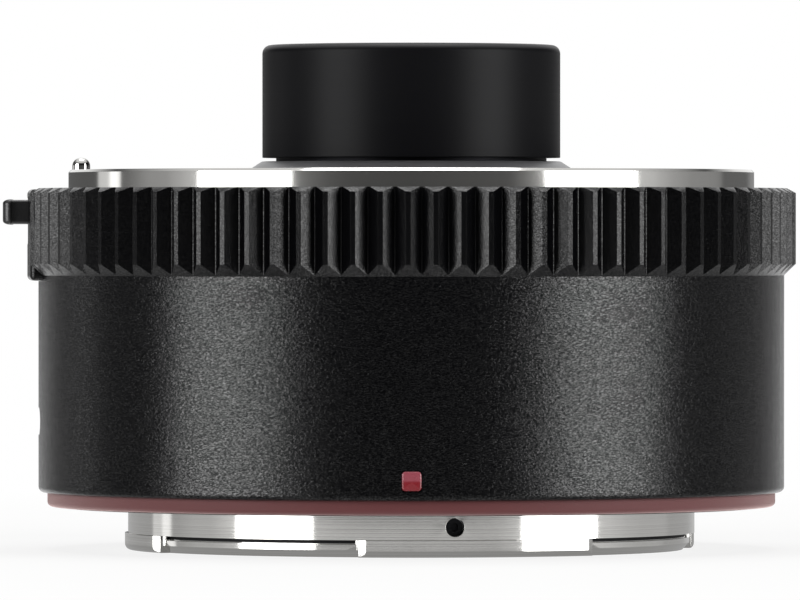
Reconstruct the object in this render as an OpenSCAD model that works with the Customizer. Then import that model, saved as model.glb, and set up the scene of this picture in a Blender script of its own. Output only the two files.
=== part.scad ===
// Two-times teleconverter for a mirrorless camera: a short barrel with a male bayonet at the
// rear, a female bayonet at the front and an optical group that reaches into the master lens.
// The origin is the centre of the rear flange plane and +Z runs to the front on the optical axis.
// -Y is the side with the red index mark, -X the side with the release knob and the data port,
// and +Y the side with the electric contacts. Lengths are in millimetres, angles in degrees.

/* [Rear bayonet] */
// Diameter over the four rear claws
bayonet_d = 54.4; // [50:0.1:60]
// How far a claw stands out from the neck
claw_reach = 0.3; // [0.2:0.05:0.8]
// Height of the neck, from the flange plane to the claws
neck_h = 2.4; // [2.2:0.05:3.2]
// Height of a claw along the axis
claw_h = 1.6; // [1.2:0.05:2.2]
// Angle that one claw spans
claw_span = 49.5; // [40:0.5:54]
// How far the wall between the claws stands back from the neck
gap_depth = 0.5; // [0.3:0.05:0.8]
// Depth of the relief groove under the neck, from the wall between the claws
relief_depth = 0.4; // [0.2:0.05:0.6]
// Height of the relief groove
relief_h = 0.4; // [0.2:0.05:0.7]
// Wall of the bayonet tube behind the relief groove
tube_wall = 1.1; // [0.8:0.05:1.6]
// Thickness of the rear flange
flange_t = 1.45; // [1.35:0.05:2.4]
// Diameter of the hole for the stop screw in the neck
stop_hole_d = 1.75; // [1.2:0.05:2]
// Angle of the stop screw from the index mark
stop_angle = 8.6; // [0:0.2:30]
// How deep the stop screw lies in its hole
stop_sunk = 0.7; // [0.4:0.05:1]
// Rounding of a claw's lower edge
claw_round = 0.55; // [0.2:0.05:0.6]
// Length of the ramp at each end of a claw
claw_ramp = 0.8; // [0.4:0.05:1.2]
// Depth of that ramp
claw_ramp_depth = 0.4; // [0.2:0.05:0.5]
// Rounding where a claw's end meets the wall between the claws
claw_fillet = 0.35; // [0.2:0.05:0.5]
// Chamfer of the wall between the claws
gap_edge = 0.65; // [0.1:0.05:0.7]
// Width of the relief in the flange face, from the claws outwards
seat_relief = 0.3; // [0.2:0.05:0.6]
// Depth of the relief in the flange face
seat_relief_t = 0.2; // [0.1:0.05:0.4]

/* [Front bayonet] */
// Distance from the rear flange plane to the front flange plane
flange_gap = 32; // [31:0.25:38]
// Thickness of the front plate at its rim
plate_t = 1.75; // [1.4:0.05:2]
// Angle that a lens turns from insertion to lock
bayonet_turn = 44; // [38:1:48]
// Thickness of the leaf springs behind the claws
leaf_t = 0.2; // [0.1:0.05:0.3]
// Radial width of the step that holds the leaf springs
leaf_band = 1.9; // [1.5:0.1:3]
// Radial width of the chassis nose that takes the plate screws
nose_band = 2.05; // [1.9:0.05:3]
// How far the plate overlaps the lip of the outer barrel
plate_overlap = 0.85; // [0.5:0.05:1.5]
// Room under a mounted lens, down to the floor of the front well
well_spare = 0.75; // [0.5:0.05:1.5]
// Chamfer of the front plate's rim
plate_edge = 0.25; // [0.1:0.05:0.4]
// Room round the claws of a mounted lens in the notches of the plate
notch_room = 0.25; // [0.15:0.05:0.4]
// Room round those claws in the well
well_room = 0.5; // [0.45:0.05:0.8]
// Room for a leaf spring to bow
leaf_bow = 0.15; // [0.1:0.05:0.2]
// How far a leaf spring stands back from the claw's edge
leaf_inset = 0.15; // [0.05:0.05:0.4]
// Angle by which a front claw is narrower than the gap that it passes
claw_play = 4; // [2:0.5:6]
// Angle by which a leaf spring is narrower than that gap
leaf_play = 7; // [6.5:0.5:10]
// Thickness of the floor of the well
floor_t = 1; // [0.8:0.05:1.2]
// Thickness of the ledge under the floor
ledge_t = 1; // [0.8:0.05:1.4]
// Width of that ledge
ledge_w = 1.1; // [0.8:0.05:1.4]

/* [Barrel] */
// Wall of the outer barrel under the grip ring
shell_wall = 1.5; // [1.2:0.1:2.5]
// Step from the grip ring seat up to the outside of the barrel
seat_step = 1; // [0.8:0.05:1.6]
// Rounding of the barrel's rear edge
barrel_round = 0.5; // [0.2:0.05:0.8]
// Height of the lip at the top of the outer barrel
lip_t = 1; // [0.8:0.05:1.5]
// Height of the grip ring
grip_h = 8.25; // [8:0.05:12]
// How far the ribs stand out from the barrel
grip_proud = 1.1; // [0.9:0.05:2]
// Number of ribs round the grip ring
rib_count = 90; // [60:2:110]
// Flat land on top of a rib
rib_land = 0.46; // [0.3:0.02:0.7]
// Depth of the grooves between the ribs
rib_depth = 0.95; // [0.5:0.05:1.1]
// Flat at the bottom of a groove
rib_valley = 0.08; // [0.04:0.02:0.2]
// Angle from the index mark to the first groove
rib_phase = 1.5; // [0:0.1:4]
// Depth of the chamfer at the front edge of the ribs
rib_edge = 0.8; // [0.4:0.05:1]
// Height of the chamfer at the front edge of the ribs
rib_edge_h = 0.45; // [0.2:0.05:0.8]
// How far the red ring stands back from the barrel
accent_step = 0.85; // [0.4:0.05:1.2]
// Wall of the red ring round the rear flange
accent_wall = 1.5; // [1:0.05:2]
// Rounding of the red ring's lower edge
accent_round = 0.45; // [0.2:0.05:0.6]
// How far the red ring stands back from the flange plane
accent_lift = 0.1; // [0.05:0.05:0.3]
// Width of the rebate in the flange that holds the red ring
rebate = 0.4; // [0.3:0.05:0.8]
// Height of the rebate over the flange plane
rebate_z = 0.9; // [0.7:0.05:1]
// Side of the square index mark
mark_w = 1.9; // [1.2:0.1:2.6]
// Height of the middle of the index mark over the flange plane
mark_z = 3.27; // [3:0.05:12]
// How far the index mark stands out of the barrel
mark_proud = 0.22; // [0.1:0.02:0.4]
// How deep the index mark is let into the barrel
mark_sink = 0.6; // [0.4:0.05:0.8]
// Corner rounding of the index mark
mark_round = 0.3; // [0.2:0.05:0.5]
// Width of the step round the index mark's top
mark_step = 0.2; // [0.1:0.05:0.25]

/* [Chassis] */
// Wall of the chassis tube
chassis_wall = 1.45; // [1.2:0.05:2]
// How far the front plate stands back from the chassis tube
plate_inset = 0.3; // [0.2:0.05:0.6]
// Wall round the screw holes of the rear bosses
boss_wall = 1; // [0.8:0.05:1.2]
// How far the rear bosses run into the chassis tube
boss_sink = 0.5; // [0.3:0.05:0.8]
// Room round the lens barrel in the rear plate
plate_room = 0.6; // [0.4:0.05:0.8]
// Thickness of the rear plate
rear_plate_t = 2; // [1.5:0.1:3]
// Thickness of the web that carries the lens barrel
web_t = 2.5; // [2:0.1:4]
// Distance from the front flange plane down to the top of the web
web_drop = 12; // [11.6:0.1:13]

/* [Optics] */
// Diameter of the front hood
hood_d = 28.3; // [26:0.1:30]
// How far the hood reaches past the front flange plane
hood_reach = 11.85; // [11:0.05:14]
// Wall of the hood
hood_wall = 1.25; // [1:0.05:1.6]
// Thickness of the lip at the front of the hood
hood_lip = 1.2; // [1:0.05:2]
// Rounding of the hood's front edge
hood_round = 0.8; // [0.3:0.05:1]
// How far the hood's mouth narrows towards the glass
mouth_taper = 0.9; // [0.4:0.05:1.2]
// Gap between the hood and the collar at its foot
hood_gap = 0.35; // [0.2:0.05:0.6]
// Height of the collar's top over the front flange plane
collar_rise = 0.8; // [0.5:0.05:1.2]
// How far the collar's foot lies below that plane
collar_drop = 0.1; // [0:0.05:0.4]
// How far the collar's foot reaches past the hood
collar_flare = 1.45; // [0.8:0.05:1.6]
// How far the collar's top reaches past the hood
collar_lip = 0.05; // [0:0.05:0.4]
// Clearance round the lens barrel in the collar
collar_room = 0.15; // [0.1:0.05:0.3]
// Depth of the seat for the collar in the floor of the front well
collar_seat = 0.4; // [0.2:0.05:0.6]
// Wall of the lens barrel
lens_wall = 1.5; // [1.2:0.05:2]
// Outside diameter of the rear part of the lens barrel
lens_barrel_d = 35.8; // [35:0.1:38]
// How far the shoulder behind the hood stands out from the front tube
shoulder_w = 3.15; // [2.9:0.05:3.6]
// Extra wall of the shoulder
shoulder_wall = 1.1; // [0.8:0.05:1.4]
// Gap between the shoulder and the floor of the front well
shoulder_room = 0.4; // [0.2:0.05:0.6]
// Width of the flange that carries the lens barrel
barrel_flange_w = 3.6; // [3.2:0.1:4]
// Thickness of that flange
barrel_flange_t = 2; // [1.6:0.1:2.4]
// How far the rear element stands out of the lens barrel
rear_stand = 0.3; // [0.1:0.05:0.4]
// How far the front element lies behind the end of the lens barrel
front_recess = 1.2; // [1:0.05:1.4]
// Thickness of the lip between the first two groups
seat_lip = 1; // [0.8:0.05:1.2]
// Width of that lip
seat_lip_w = 1.3; // [1:0.1:1.8]
// Wall of the spacers
spacer_wall = 1.8; // [1.4:0.1:2]
// Height of the retaining rings
ring_h = 1.6; // [1.3:0.1:1.8]
// Width of the front retaining ring
front_ring_w = 1.3; // [1:0.1:1.8]
// Width of the rear retaining ring
rear_ring_w = 1.9; // [1.6:0.1:2.4]
// Width of the spanner slots in the retaining rings
spanner_w = 1; // [0.8:0.1:1.4]
// Depth of the spanner slots
spanner_d = 0.4; // [0.2:0.05:0.6]
// Air between groups 2 and 3
air_3 = 3.1; // [2.9:0.1:3.4]
// Air between groups 3 and 4
air_4 = 3; // [2.8:0.1:3.3]
// Air between groups 4 and 5
air_5 = 1.7; // [1.5:0.1:2]
// Thickness of the fifth element at its rim
rim_t_5 = 2.6; // [2.3:0.1:2.9]
// Thickness of the eighth element at its rim
rim_t_8 = 2; // [1.7:0.1:2.3]
// Thickness of the glass at the rim of a positive element
glass_rim = 0.7; // [0.5:0.05:1]
// Thickness of the glass at the middle of a negative element
glass_core = 1.4; // [1:0.05:1.8]
// Width of the rear light window
window_w = 31; // [26:0.5:33]
// Height of the rear light window
window_h = 22; // [18:0.5:26]
// Thickness of the rear mask
mask_t = 1.1; // [0.8:0.05:1.3]
// How far the mask stands back from the bayonet bore
mask_inset = 3.5; // [3.3:0.1:4]
// Height of the spigot that seats the mask in the rear plate
mask_spigot = 1.1; // [0.8:0.05:1.4]
// Wall of that spigot
mask_wall = 0.95; // [0.7:0.05:1.2]

/* [Release] */
// Diameter of the lock pin
pin_d = 1.7; // [1.4:0.05:2]
// How far the lock pin stands over the front flange plane
pin_rise = 1.15; // [0.8:0.05:1.5]
// Metal left between the pin hole and the chamfer of the front plate
pin_edge = 0.05; // [0.05:0.05:0.4]
// Depth of the lock pin's hole in the carriage
pin_seat = 4; // [3:0.1:5]
// Travel of the release knob
release_travel = 1.6; // [1.2:0.05:1.8]
// Width of the knob's tip
knob_w = 7; // [6.4:0.1:8.5]
// Height of the knob's tip
knob_h = 2.4; // [2.3:0.05:2.8]
// How far the knob stands out from the grip ring
knob_reach = 2.2; // [1.8:0.05:4]
// Distance from the barrel's front end down to the knob's middle
knob_drop = 2.25; // [2:0.05:2.6]
// Thickness of the knob's tip
tip_t = 0.78; // [0.6:0.02:1.2]
// Corner rounding of the knob's tip
tip_round = 0.5; // [0.3:0.05:0.8]
// How much wider the tip is than the stem
tip_lap_w = 1; // [0.4:0.1:1.6]
// How much higher the tip is than the stem
tip_lap_h = 0.1; // [0.1:0.02:0.5]
// Corner rounding of the stem
stem_round = 0.3; // [0.1:0.05:0.5]
// Width of the frame round the knob's slot
frame_w = 12; // [11:0.1:14]
// How far the frame runs down past the grip ring
frame_drop = 0.5; // [0.2:0.05:1]
// How far the frame's face stands back from the ribs
frame_sink = 0.05; // [0.05:0.05:0.4]
// How far the frame's top stands back from the barrel's front end
frame_inset = 0.1; // [0.1:0.05:0.5]
// Corner rounding of the frame
frame_round = 0.5; // [0.3:0.05:1]
// Width of the pocket that the carriage slides in
pocket_w = 10; // [9:0.1:10.4]
// Gap between the leaf springs' step and that pocket
pocket_room = 0.15; // [0.1:0.05:0.3]
// How far the pocket is sunk into the barrel wall
pocket_sink = 0.3; // [0.2:0.05:0.6]
// Height of the carriage
carriage_h = 6.6; // [6:0.1:7]
// Wall of the carriage outside the lock pin
carriage_wall = 0.5; // [0.4:0.05:0.8]
// Thread radius of the screws that hold the knob
release_screw_r = 0.4; // [0.3:0.05:0.5]
// Head radius of those screws
release_head_r = 0.7; // [0.6:0.05:0.9]
// Head height of those screws
release_head_h = 0.5; // [0.4:0.05:0.6]
// How far those screws reach into the knob
release_bite = 0.8; // [0.6:0.05:1.2]
// Distance of those screws from the middle
release_screw_y = 2.2; // [1.8:0.05:2.3]
// Wire thickness of the lock spring
spring_wire = 0.3; // [0.2:0.05:0.35]
// Radius of the lock spring at the middle of its wire
spring_r = 0.85; // [0.6:0.05:0.9]
// Number of turns of the lock spring
spring_turns = 3.5; // [3:0.5:4]

/* [Electronics] */
// Number of contact pins
contact_count = 11; // [7:1:11]
// Angle between neighbouring contacts
contact_pitch = 4.8; // [4.5:0.1:5]
// Diameter of a contact pin
contact_d = 0.8; // [0.6:0.05:0.9]
// Travel of a contact pin
contact_travel = 0.8; // [0.5:0.05:0.9]
// How far a contact pin still shows when it is pushed in
contact_show = 0.1; // [0.05:0.05:0.2]
// How far a contact pin's flange stands out from the pin
contact_flange = 0.25; // [0.15:0.05:0.3]
// Thickness of that flange
contact_flange_t = 0.6; // [0.4:0.05:0.7]
// Distance from the contact circle to the edge of a contact block
contact_margin = 1.6; // [1.4:0.05:1.8]
// Height of the front contact block over the floor of the well
block_rise = 0.9; // [0.7:0.05:1.2]
// Roof of the front contact block over the pins' flanges
block_roof = 0.8; // [0.6:0.05:1]
// Angle from the last contact to the end of the front block
block_end = 4; // [3.5:0.1:5]
// Angle of the foot past the end of the front block
foot_end = 4.5; // [4:0.1:6]
// How far the foot runs under the floor of the well
foot_lap = 0.8; // [0.6:0.05:1]
// Angle of play between the front block and the floor of the well
block_play = 0.3; // [0.2:0.05:0.6]
// How far the rear contact block stands back from the rear claws
block_inset = 0.4; // [0.2:0.05:0.8]
// Angle from the last contact to the end of the rear block
rear_block_end = 7; // [6.6:0.1:8]
// Width of a rear contact pad
pad_w = 1.2; // [0.9:0.05:1.3]
// Length of a rear contact pad
pad_l = 2.2; // [1.6:0.05:2.4]
// Thickness of a rear contact pad
pad_t = 0.25; // [0.2:0.05:0.4]
// How far a rear contact pad stands out
pad_proud = 0.05; // [0.02:0.01:0.1]
// Thread radius of the contact screws
contact_screw_r = 0.6; // [0.5:0.05:0.65]
// Head radius of the contact screws
contact_head_r = 1; // [0.8:0.05:1.1]
// Head height of the contact screws
contact_head_h = 0.6; // [0.5:0.05:0.7]
// Depth of the rear contact screws' counterbores
contact_bore = 2; // [1.2:0.1:2.4]
// Angle from the last contact to the rear contact screws
rear_screw_end = 4.4; // [4:0.1:4.6]
// Angle from the end of the front block to its screws
front_screw_end = 2.4; // [2.2:0.1:2.6]
// Thickness of the flex cable
flex_t = 0.3; // [0.2:0.05:0.4]
// Width of the flex cable
flex_w = 10; // [7:0.5:11]
// Room round the flex cable in its slots
flex_room = 0.35; // [0.3:0.05:0.5]
// How far the flex cable's flat end stands back from the block's edge
flex_inset = 0.2; // [0.1:0.05:0.4]
// Angle from the last contact to the end of the flex cable's flat end
flex_end = 2.5; // [2:0.1:3.4]
// Height of the data port's middle over the flange plane
port_z = 8.17; // [8:0.05:11]
// Width of the data port's opening
port_w = 8.9; // [8.4:0.05:9.4]
// Height of the data port's opening
port_h = 2.6; // [2.4:0.05:3]
// Thickness of the circuit board
board_t = 1; // [0.6:0.1:1.2]
// Room between the lens barrel and the circuit board
board_room = 1.3; // [0.8:0.1:1.6]
// Gap between the circuit board and the rear bosses
boss_gap = 0.3; // [0.2:0.05:0.6]
// Radius of the posts under the circuit board
post_r = 1.5; // [1.2:0.05:1.8]
// Wall of the data socket
socket_wall = 0.3; // [0.2:0.05:0.35]
// Depth of the data socket
socket_depth = 7; // [6:0.1:8]
// How far the data socket stands back from the barrel's inside
socket_inset = 0.4; // [0.3:0.05:0.8]
// Room round the data socket in the chassis
socket_room = 0.6; // [0.4:0.05:0.8]
// Thickness of the data socket's tongue
tongue_t = 0.7; // [0.5:0.05:0.8]
// Gap between the tongue and the ends of the socket
tongue_gap = 0.8; // [0.6:0.05:1.2]
// Thickness of the tongue's base
tongue_base = 1.2; // [0.8:0.1:2]
// How far the board's tab runs past the socket on each side
tab_lap = 0.4; // [0.2:0.05:0.8]
// How far the board's tab stands back from the chassis wall
tab_inset = 0.4; // [0.3:0.05:0.8]

/* [Fasteners] */
// Thread diameter of the mount screws
screw_d = 1.4; // [1.2:0.1:1.6]
// Head diameter of the mount screws
head_d = 2.7; // [2.4:0.1:3]
// Thread length of the mount screws
screw_len = 5; // [4.5:0.5:6]
// Thread radius of the board and lens barrel screws
board_screw_r = 0.5; // [0.4:0.05:0.6]
// Head radius of those screws
board_head_r = 1.1; // [0.9:0.05:1.2]
// Head height of those screws
board_head_h = 0.7; // [0.5:0.05:0.8]
// Width of a cross recess, as a share of the head's diameter
recess_w = 0.16; // [0.12:0.01:0.2]
// Length of a cross recess, as a share of the head's diameter
recess_l = 0.61; // [0.5:0.01:0.7]
// Metal left between the tip of a screw and the next face
tip_gap = 0.3; // [0.2:0.05:0.4]

/* [Clearances] */
// Radial clearance of pieces that are fitted together and stay put
fit = 0.05; // [0.02:0.01:0.1]
// Clearance of a piece that slides
slide = 0.1; // [0.06:0.01:0.15]
// Room that a moving piece keeps from what it only passes
pass = 0.2; // [0.15:0.01:0.3]
// Thickness of the cement between two elements
cement = 0.02; // [0.01:0.01:0.04]
// Gap between pieces that are clamped or glued together
shim = 0.02; // [0.01:0.01:0.03]

/* [Hidden] */
$fn = 96;
// How far a cut runs past the face that it opens
over = 1;
// Least length of an edge that must not vanish
hair = 0.01;

// Directions round the axis
index_side = -90;
contact_side = 90;
release_side = 180;
// Where each rear claw starts, from the index mark towards +X
claw_starts = [-10.6, 96, 172, 249];
claw_count = len(claw_starts);
screw_angles = [45, 135, 225, 315];
thirds = [30, 150, 270];
barrel_screw_angles = [0, 120, 240];

// Radii of the two bayonets
claw_r = bayonet_d / 2;
neck_r = claw_r - claw_reach;
gap_r = neck_r - gap_depth;
relief_r = gap_r - relief_depth;
rear_bore_r = relief_r - tube_wall;
seat_relief_r = claw_r + seat_relief;
throat_r = neck_r + slide;
notch_r = claw_r + notch_room;
well_r = claw_r + well_room;
leaf_r = well_r + leaf_band;
nose_r = leaf_r + nose_band;
front_screw_r = leaf_r + nose_band / 2;

// Radii of the barrel, from the front plate outwards
lip_r = nose_r + fit;
plate_r = lip_r + plate_overlap;
chassis_r = plate_r + plate_inset;
chassis_in_r = chassis_r - chassis_wall;
shell_in_r = chassis_r + fit;
seat_r = shell_in_r + shell_wall;
body_r = seat_r + seat_step;
grip_in_r = seat_r + fit;
grip_r = body_r + grip_proud;
accent_r = body_r - accent_step;
flange_r = accent_r - accent_wall - fit;
boss_r = screw_d / 2 + boss_wall;
rear_screw_r = chassis_in_r - boss_r + boss_sink;

// Levels along the axis
bayonet_h = neck_h + claw_h;
shell_z = flange_t;
rear_plate_top = flange_t + rear_plate_t;
plate_z = flange_gap - plate_t;
shell_top = plate_z;
lip_z = shell_top - lip_t;
grip_z = shell_top - grip_h;
claw_plate_z = flange_gap - neck_h + leaf_t + leaf_bow;
leaf_z = claw_plate_z - leaf_t - shim;
well_floor = flange_gap - bayonet_h - well_spare;
floor_z = well_floor - floor_t;
ledge_z = floor_z - ledge_t;
ledge_r = well_r - ledge_w;
web_top = flange_gap - web_drop;
web_z = web_top - web_t;

// Hood and the collar at its foot
hood_r = hood_d / 2;
hood_top = flange_gap + hood_reach;
collar_r = hood_r + collar_flare;
collar_top_r = hood_r + collar_lip;
collar_z = flange_gap - collar_drop;
collar_top = flange_gap + collar_rise;
hood_z = collar_top + hood_gap;
tube_r = hood_r - hood_wall - fit;
tube_top = hood_top - hood_lip - fit;
collar_in_r = tube_r + collar_room;
collar_foot = well_floor - collar_seat;

// Bores of the lens barrel, from the front to the rear
lens_barrel_r = lens_barrel_d / 2;
front_bore = tube_r - lens_wall;
shoulder_r = tube_r + shoulder_w;
bore_2 = front_bore;
bore_3 = shoulder_r - lens_wall - shoulder_wall;
bore_5 = lens_barrel_r - lens_wall;
bore_4 = (bore_3 + bore_5) / 2;
seat_bore = front_bore - seat_lip_w;

// Radii of curvature of the glass: each is kept well over the element's own radius
curve_1 = 4 * front_bore;
curve_2 = 3.4 * front_bore;
curve_3 = 5.3 * front_bore;
curve_4 = 3.7 * bore_2;
curve_5 = 2.4 * bore_2;
curve_6 = 5.3 * bore_2;
curve_7 = 6.7 * bore_3;
curve_8 = 2.8 * bore_3;
curve_9 = 3.7 * bore_4;
curve_10 = 2.5 * bore_4;
curve_11 = 8 * bore_4;
curve_12 = 4.6 * bore_5;
curve_13 = 3.2 * bore_5;

// Depth of a spherical face of radius c at the distance r from its axis
function sag(c, r) = c - sqrt(c * c - r * r);

rim_1 = front_bore - fit;
rim_2 = bore_2 - fit;
rim_3 = bore_3 - fit;
rim_4 = bore_4 - fit;
rim_5 = bore_5 - fit;

// Group 1 sits on the seat lip and is loaded from the front
core_1 = glass_rim + sag(curve_1, rim_1) + sag(curve_2, rim_1);
lens_1_front = tube_top - front_recess;
lens_1_back = lens_1_front - core_1;
lens_2_front = lens_1_back - cement;
lens_2_back = lens_2_front - glass_core;
seat_1 = lens_2_back - sag(curve_3, rim_1) - shim;
lip_2 = seat_1 - seat_lip;
// Group 2 hangs below the seat lip
lens_3_front = lip_2 - shim - sag(curve_4, rim_2);
lens_3_back = lens_3_front - glass_core;
lens_4_front = lens_3_back - cement;
core_4 = glass_rim + sag(curve_5, rim_2) + sag(curve_6, rim_2);
lens_4_back = lens_4_front - core_4;
// Group 3
lens_5_front = lens_4_back - air_3;
step_3 = lens_5_front + sag(curve_7, rim_3) + shim;
core_5 = rim_t_5 + sag(curve_8, rim_3) - sag(curve_7, rim_3);
lens_5_back = lens_5_front - core_5;
// Group 4
lens_6_front = lens_5_back - air_4;
step_4 = lens_6_front + sag(curve_9, rim_4) + shim;
lens_6_back = lens_6_front - glass_core;
lens_7_front = lens_6_back - cement;
core_7 = glass_rim + sag(curve_10, rim_4) + sag(curve_11, rim_4);
lens_7_back = lens_7_front - core_7;
// Group 5
lens_8_front = lens_7_back - air_5;
step_5 = lens_8_front + sag(curve_12, rim_5) + shim;
core_8 = rim_t_8 + sag(curve_13, rim_5) - sag(curve_12, rim_5);
lens_8_back = lens_8_front - core_8;
lens_barrel_z = lens_8_back + rear_stand;
barrel_flange_r = lens_barrel_r + barrel_flange_w;
barrel_screw_r = lens_barrel_r + barrel_flange_w / 2;
barrel_flange_top = web_top + barrel_flange_t;
shoulder_z = floor_z - shoulder_room;

// Rear window and its mask
mask_r = rear_bore_r - mask_inset;
mask_z = flange_t - mask_t;
rear_hole_r = lens_barrel_r + plate_room;
spigot_r = rear_hole_r - fit;
window_r = spigot_r - mask_wall;
spigot_top = flange_t + mask_spigot;

// Release parts at the -X side
pin_r = pin_d / 2;
pin_hole_r = pin_r + fit;
pin_at = plate_r - plate_edge - pin_edge - pin_hole_r;
pocket_in = leaf_r + pocket_room;
pocket_out = shell_in_r + pocket_sink;
carriage_in = pocket_in + slide / 2;
carriage_out = pin_at + pin_r + carriage_wall;
carriage_t = carriage_out - carriage_in;
carriage_w = pocket_w - 2 * slide;
carriage_top = plate_z - fit;
carriage_z = carriage_top - carriage_h;
pin_foot = carriage_top - pin_seat;
knob_z = shell_top - knob_drop;
stem_h = knob_h - tip_lap_h;
stem_w = knob_w - tip_lap_w;
knob_end = grip_r + knob_reach;
slot_w = stem_w + 2 * slide;
slot_z = knob_z - stem_h / 2 - release_travel - pass;
slot_top = knob_z + stem_h / 2 + slide;
frame_r = grip_r - frame_sink;
frame_top = shell_top - frame_inset;
frame_z = grip_z - frame_drop;
spring_at = (carriage_in + carriage_out) / 2;
spring_z = web_top + shim;
spring_h = carriage_z - web_top - 2 * shim;

// Contacts, on one circle at both ends
contact_r = rear_bore_r - contact_margin;
block_out = rear_bore_r - fit;
block_in = contact_r - contact_margin;
contact_span = contact_pitch * (contact_count - 1);
block_half = contact_span / 2 + block_end;
foot_half = block_half + foot_end;
rear_block_half = contact_span / 2 + rear_block_end;
rear_block_z = -bayonet_h + block_inset;
contact_head_z = rear_block_z + contact_bore;
front_block_top = well_floor + block_rise;
foot_t = floor_t;
foot_z = floor_z - foot_t - shim;
foot_in = block_in - foot_lap;
foot_out = block_out + foot_lap;
contact_flange_r = contact_d / 2 + contact_flange;
chamber_r = contact_flange_r + fit;
chamber_top = front_block_top - block_roof;
contact_rise = contact_travel + contact_show;
flex_slot_t = flex_t + 2 * flex_room;
flex_slot_w = flex_w + 2 * flex_room;
rear_contact_screw_at = contact_span / 2 + rear_screw_end;
front_contact_screw_at = block_half + front_screw_end;

// Board and port
port_round = port_h / 2 - hair;
socket_w = port_w + 2 * shim;
socket_h = port_h + 2 * socket_wall;
socket_round = socket_h / 2 - hair;
socket_front = shell_in_r - socket_inset;
socket_back = socket_depth - socket_front;
board_top = port_z - socket_h / 2;
board_z = board_top - board_t;
board_in_r = lens_barrel_r + board_room;
board_out_r = rear_screw_r - boss_r - boss_gap;
board_screw_at = (board_in_r + board_out_r) / 2;
// Angle round the axis, side and height of each chip on the board
chips = [[0, 5, 1], [60, 3.2, 0.8], [225, 4, 0.9], [315, 3.2, 0.8]];

// Points of a round corner, from angle a to angle b about the centre [x, y]
function corner(x, y, r, a, b, steps = 5) =
    [for (i = [0:steps]) let (t = a + (b - a) * i / steps) [x + r * cos(t), y + r * sin(t)]];

// Middle and width of the gap after rear claw i, from the index mark
function next_claw(i) = i < claw_count - 1 ? claw_starts[i + 1] : claw_starts[0] + 360;
function gap_middle(i) = (claw_starts[i] + claw_span + next_claw(i)) / 2;
function gap_width(i) = next_claw(i) - claw_starts[i] - claw_span;

// Angle of contact i on the contact side
function contact_angle(i) = contact_side + (i - (contact_count + 1) / 2) * contact_pitch;

module turned(points, from = 0, span = 360) {
    rotate([0, 0, from])
        rotate_extrude(angle = span)
            polygon(points);
}

module ring(r_out, r_in, z_low, z_high, from = 0, span = 360) {
    turned([[r_in, z_low], [r_out, z_low], [r_out, z_high], [r_in, z_high]], from, span);
}

module disc(r, z_low, z_high) {
    translate([0, 0, z_low])
        cylinder(r = r, h = z_high - z_low);
}

module drill(at_r, angle, r, z_low, z_high) {
    rotate([0, 0, angle])
        translate([at_r, 0, 0])
            disc(r, z_low, z_high);
}

// A block that spans x_low to x_high, z_low to z_high and w across the Y axis
module across(x_low, x_high, w, z_low, z_high) {
    translate([x_low, -w / 2, z_low])
        cube([x_high - x_low, w, z_high - z_low]);
}

// A flat outline w wide and h high with round corners
module round_outline(w, h, r) {
    square([w - 2 * r, h], center = true);
    square([w, h - 2 * r], center = true);
    for (x = [-1, 1], y = [-1, 1])
        translate([x * (w / 2 - r), y * (h / 2 - r)])
            circle(r);
}

// A rounded bar along the X axis, with its width on Y and its height on Z
module round_bar(x_low, x_high, w, h, r, z) {
    translate([x_low, 0, z])
        rotate([90, 0, 90])
            linear_extrude(x_high - x_low)
                round_outline(w, h, r);
}

// A countersunk screw whose head lies at z = 0 and whose thread points down
module countersunk_screw(length) {
    head_h = (head_d - screw_d) / 2;
    difference() {
        union() {
            translate([0, 0, -head_h])
                cylinder(r1 = screw_d / 2, r2 = head_d / 2, h = head_h);
            translate([0, 0, -length])
                cylinder(d = screw_d, h = length - head_h);
        }
        for (turn = [0, 90])
            rotate([0, 0, turn])
                cube([head_d * recess_l, head_d * recess_w, head_h], center = true);
    }
}

module countersink(length) {
    head_h = (head_d - screw_d) / 2;
    translate([0, 0, -head_h])
        cylinder(r1 = screw_d / 2 + fit, r2 = head_d / 2 + fit, h = head_h);
    translate([0, 0, -length - tip_gap])
        cylinder(r = screw_d / 2 + fit, h = length + tip_gap);
    cylinder(r = head_d / 2 + fit, h = over);
}

// A pan-head screw whose head stands on z = 0 and whose thread points down
module pan_screw(r, head_r, head_h, length) {
    difference() {
        union() {
            cylinder(r = head_r, h = head_h);
            translate([0, 0, -length])
                cylinder(r = r, h = length);
        }
        for (turn = [0, 90])
            rotate([0, 0, turn])
                translate([0, 0, head_h])
                    cube([2 * head_r * recess_l, 2 * head_r * recess_w, head_h], center = true);
    }
}

// The slot that the flex cable runs through
module flex_slot(z_low, z_high) {
    rotate([0, 0, contact_side])
        across(
            contact_r - flex_slot_t / 2, contact_r + flex_slot_t / 2, flex_slot_w, z_low, z_high
        );
}

// Places for the mount screws, with the head at the flange plane
module at_front_screws() {
    for (a = screw_angles)
        rotate([0, 0, a])
            translate([front_screw_r, 0, flange_gap - fit])
                children();
}

module at_rear_screws() {
    for (a = screw_angles)
        rotate([0, 0, a])
            translate([rear_screw_r, 0, fit])
                rotate([180, 0, 0])
                    children();
}

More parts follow.
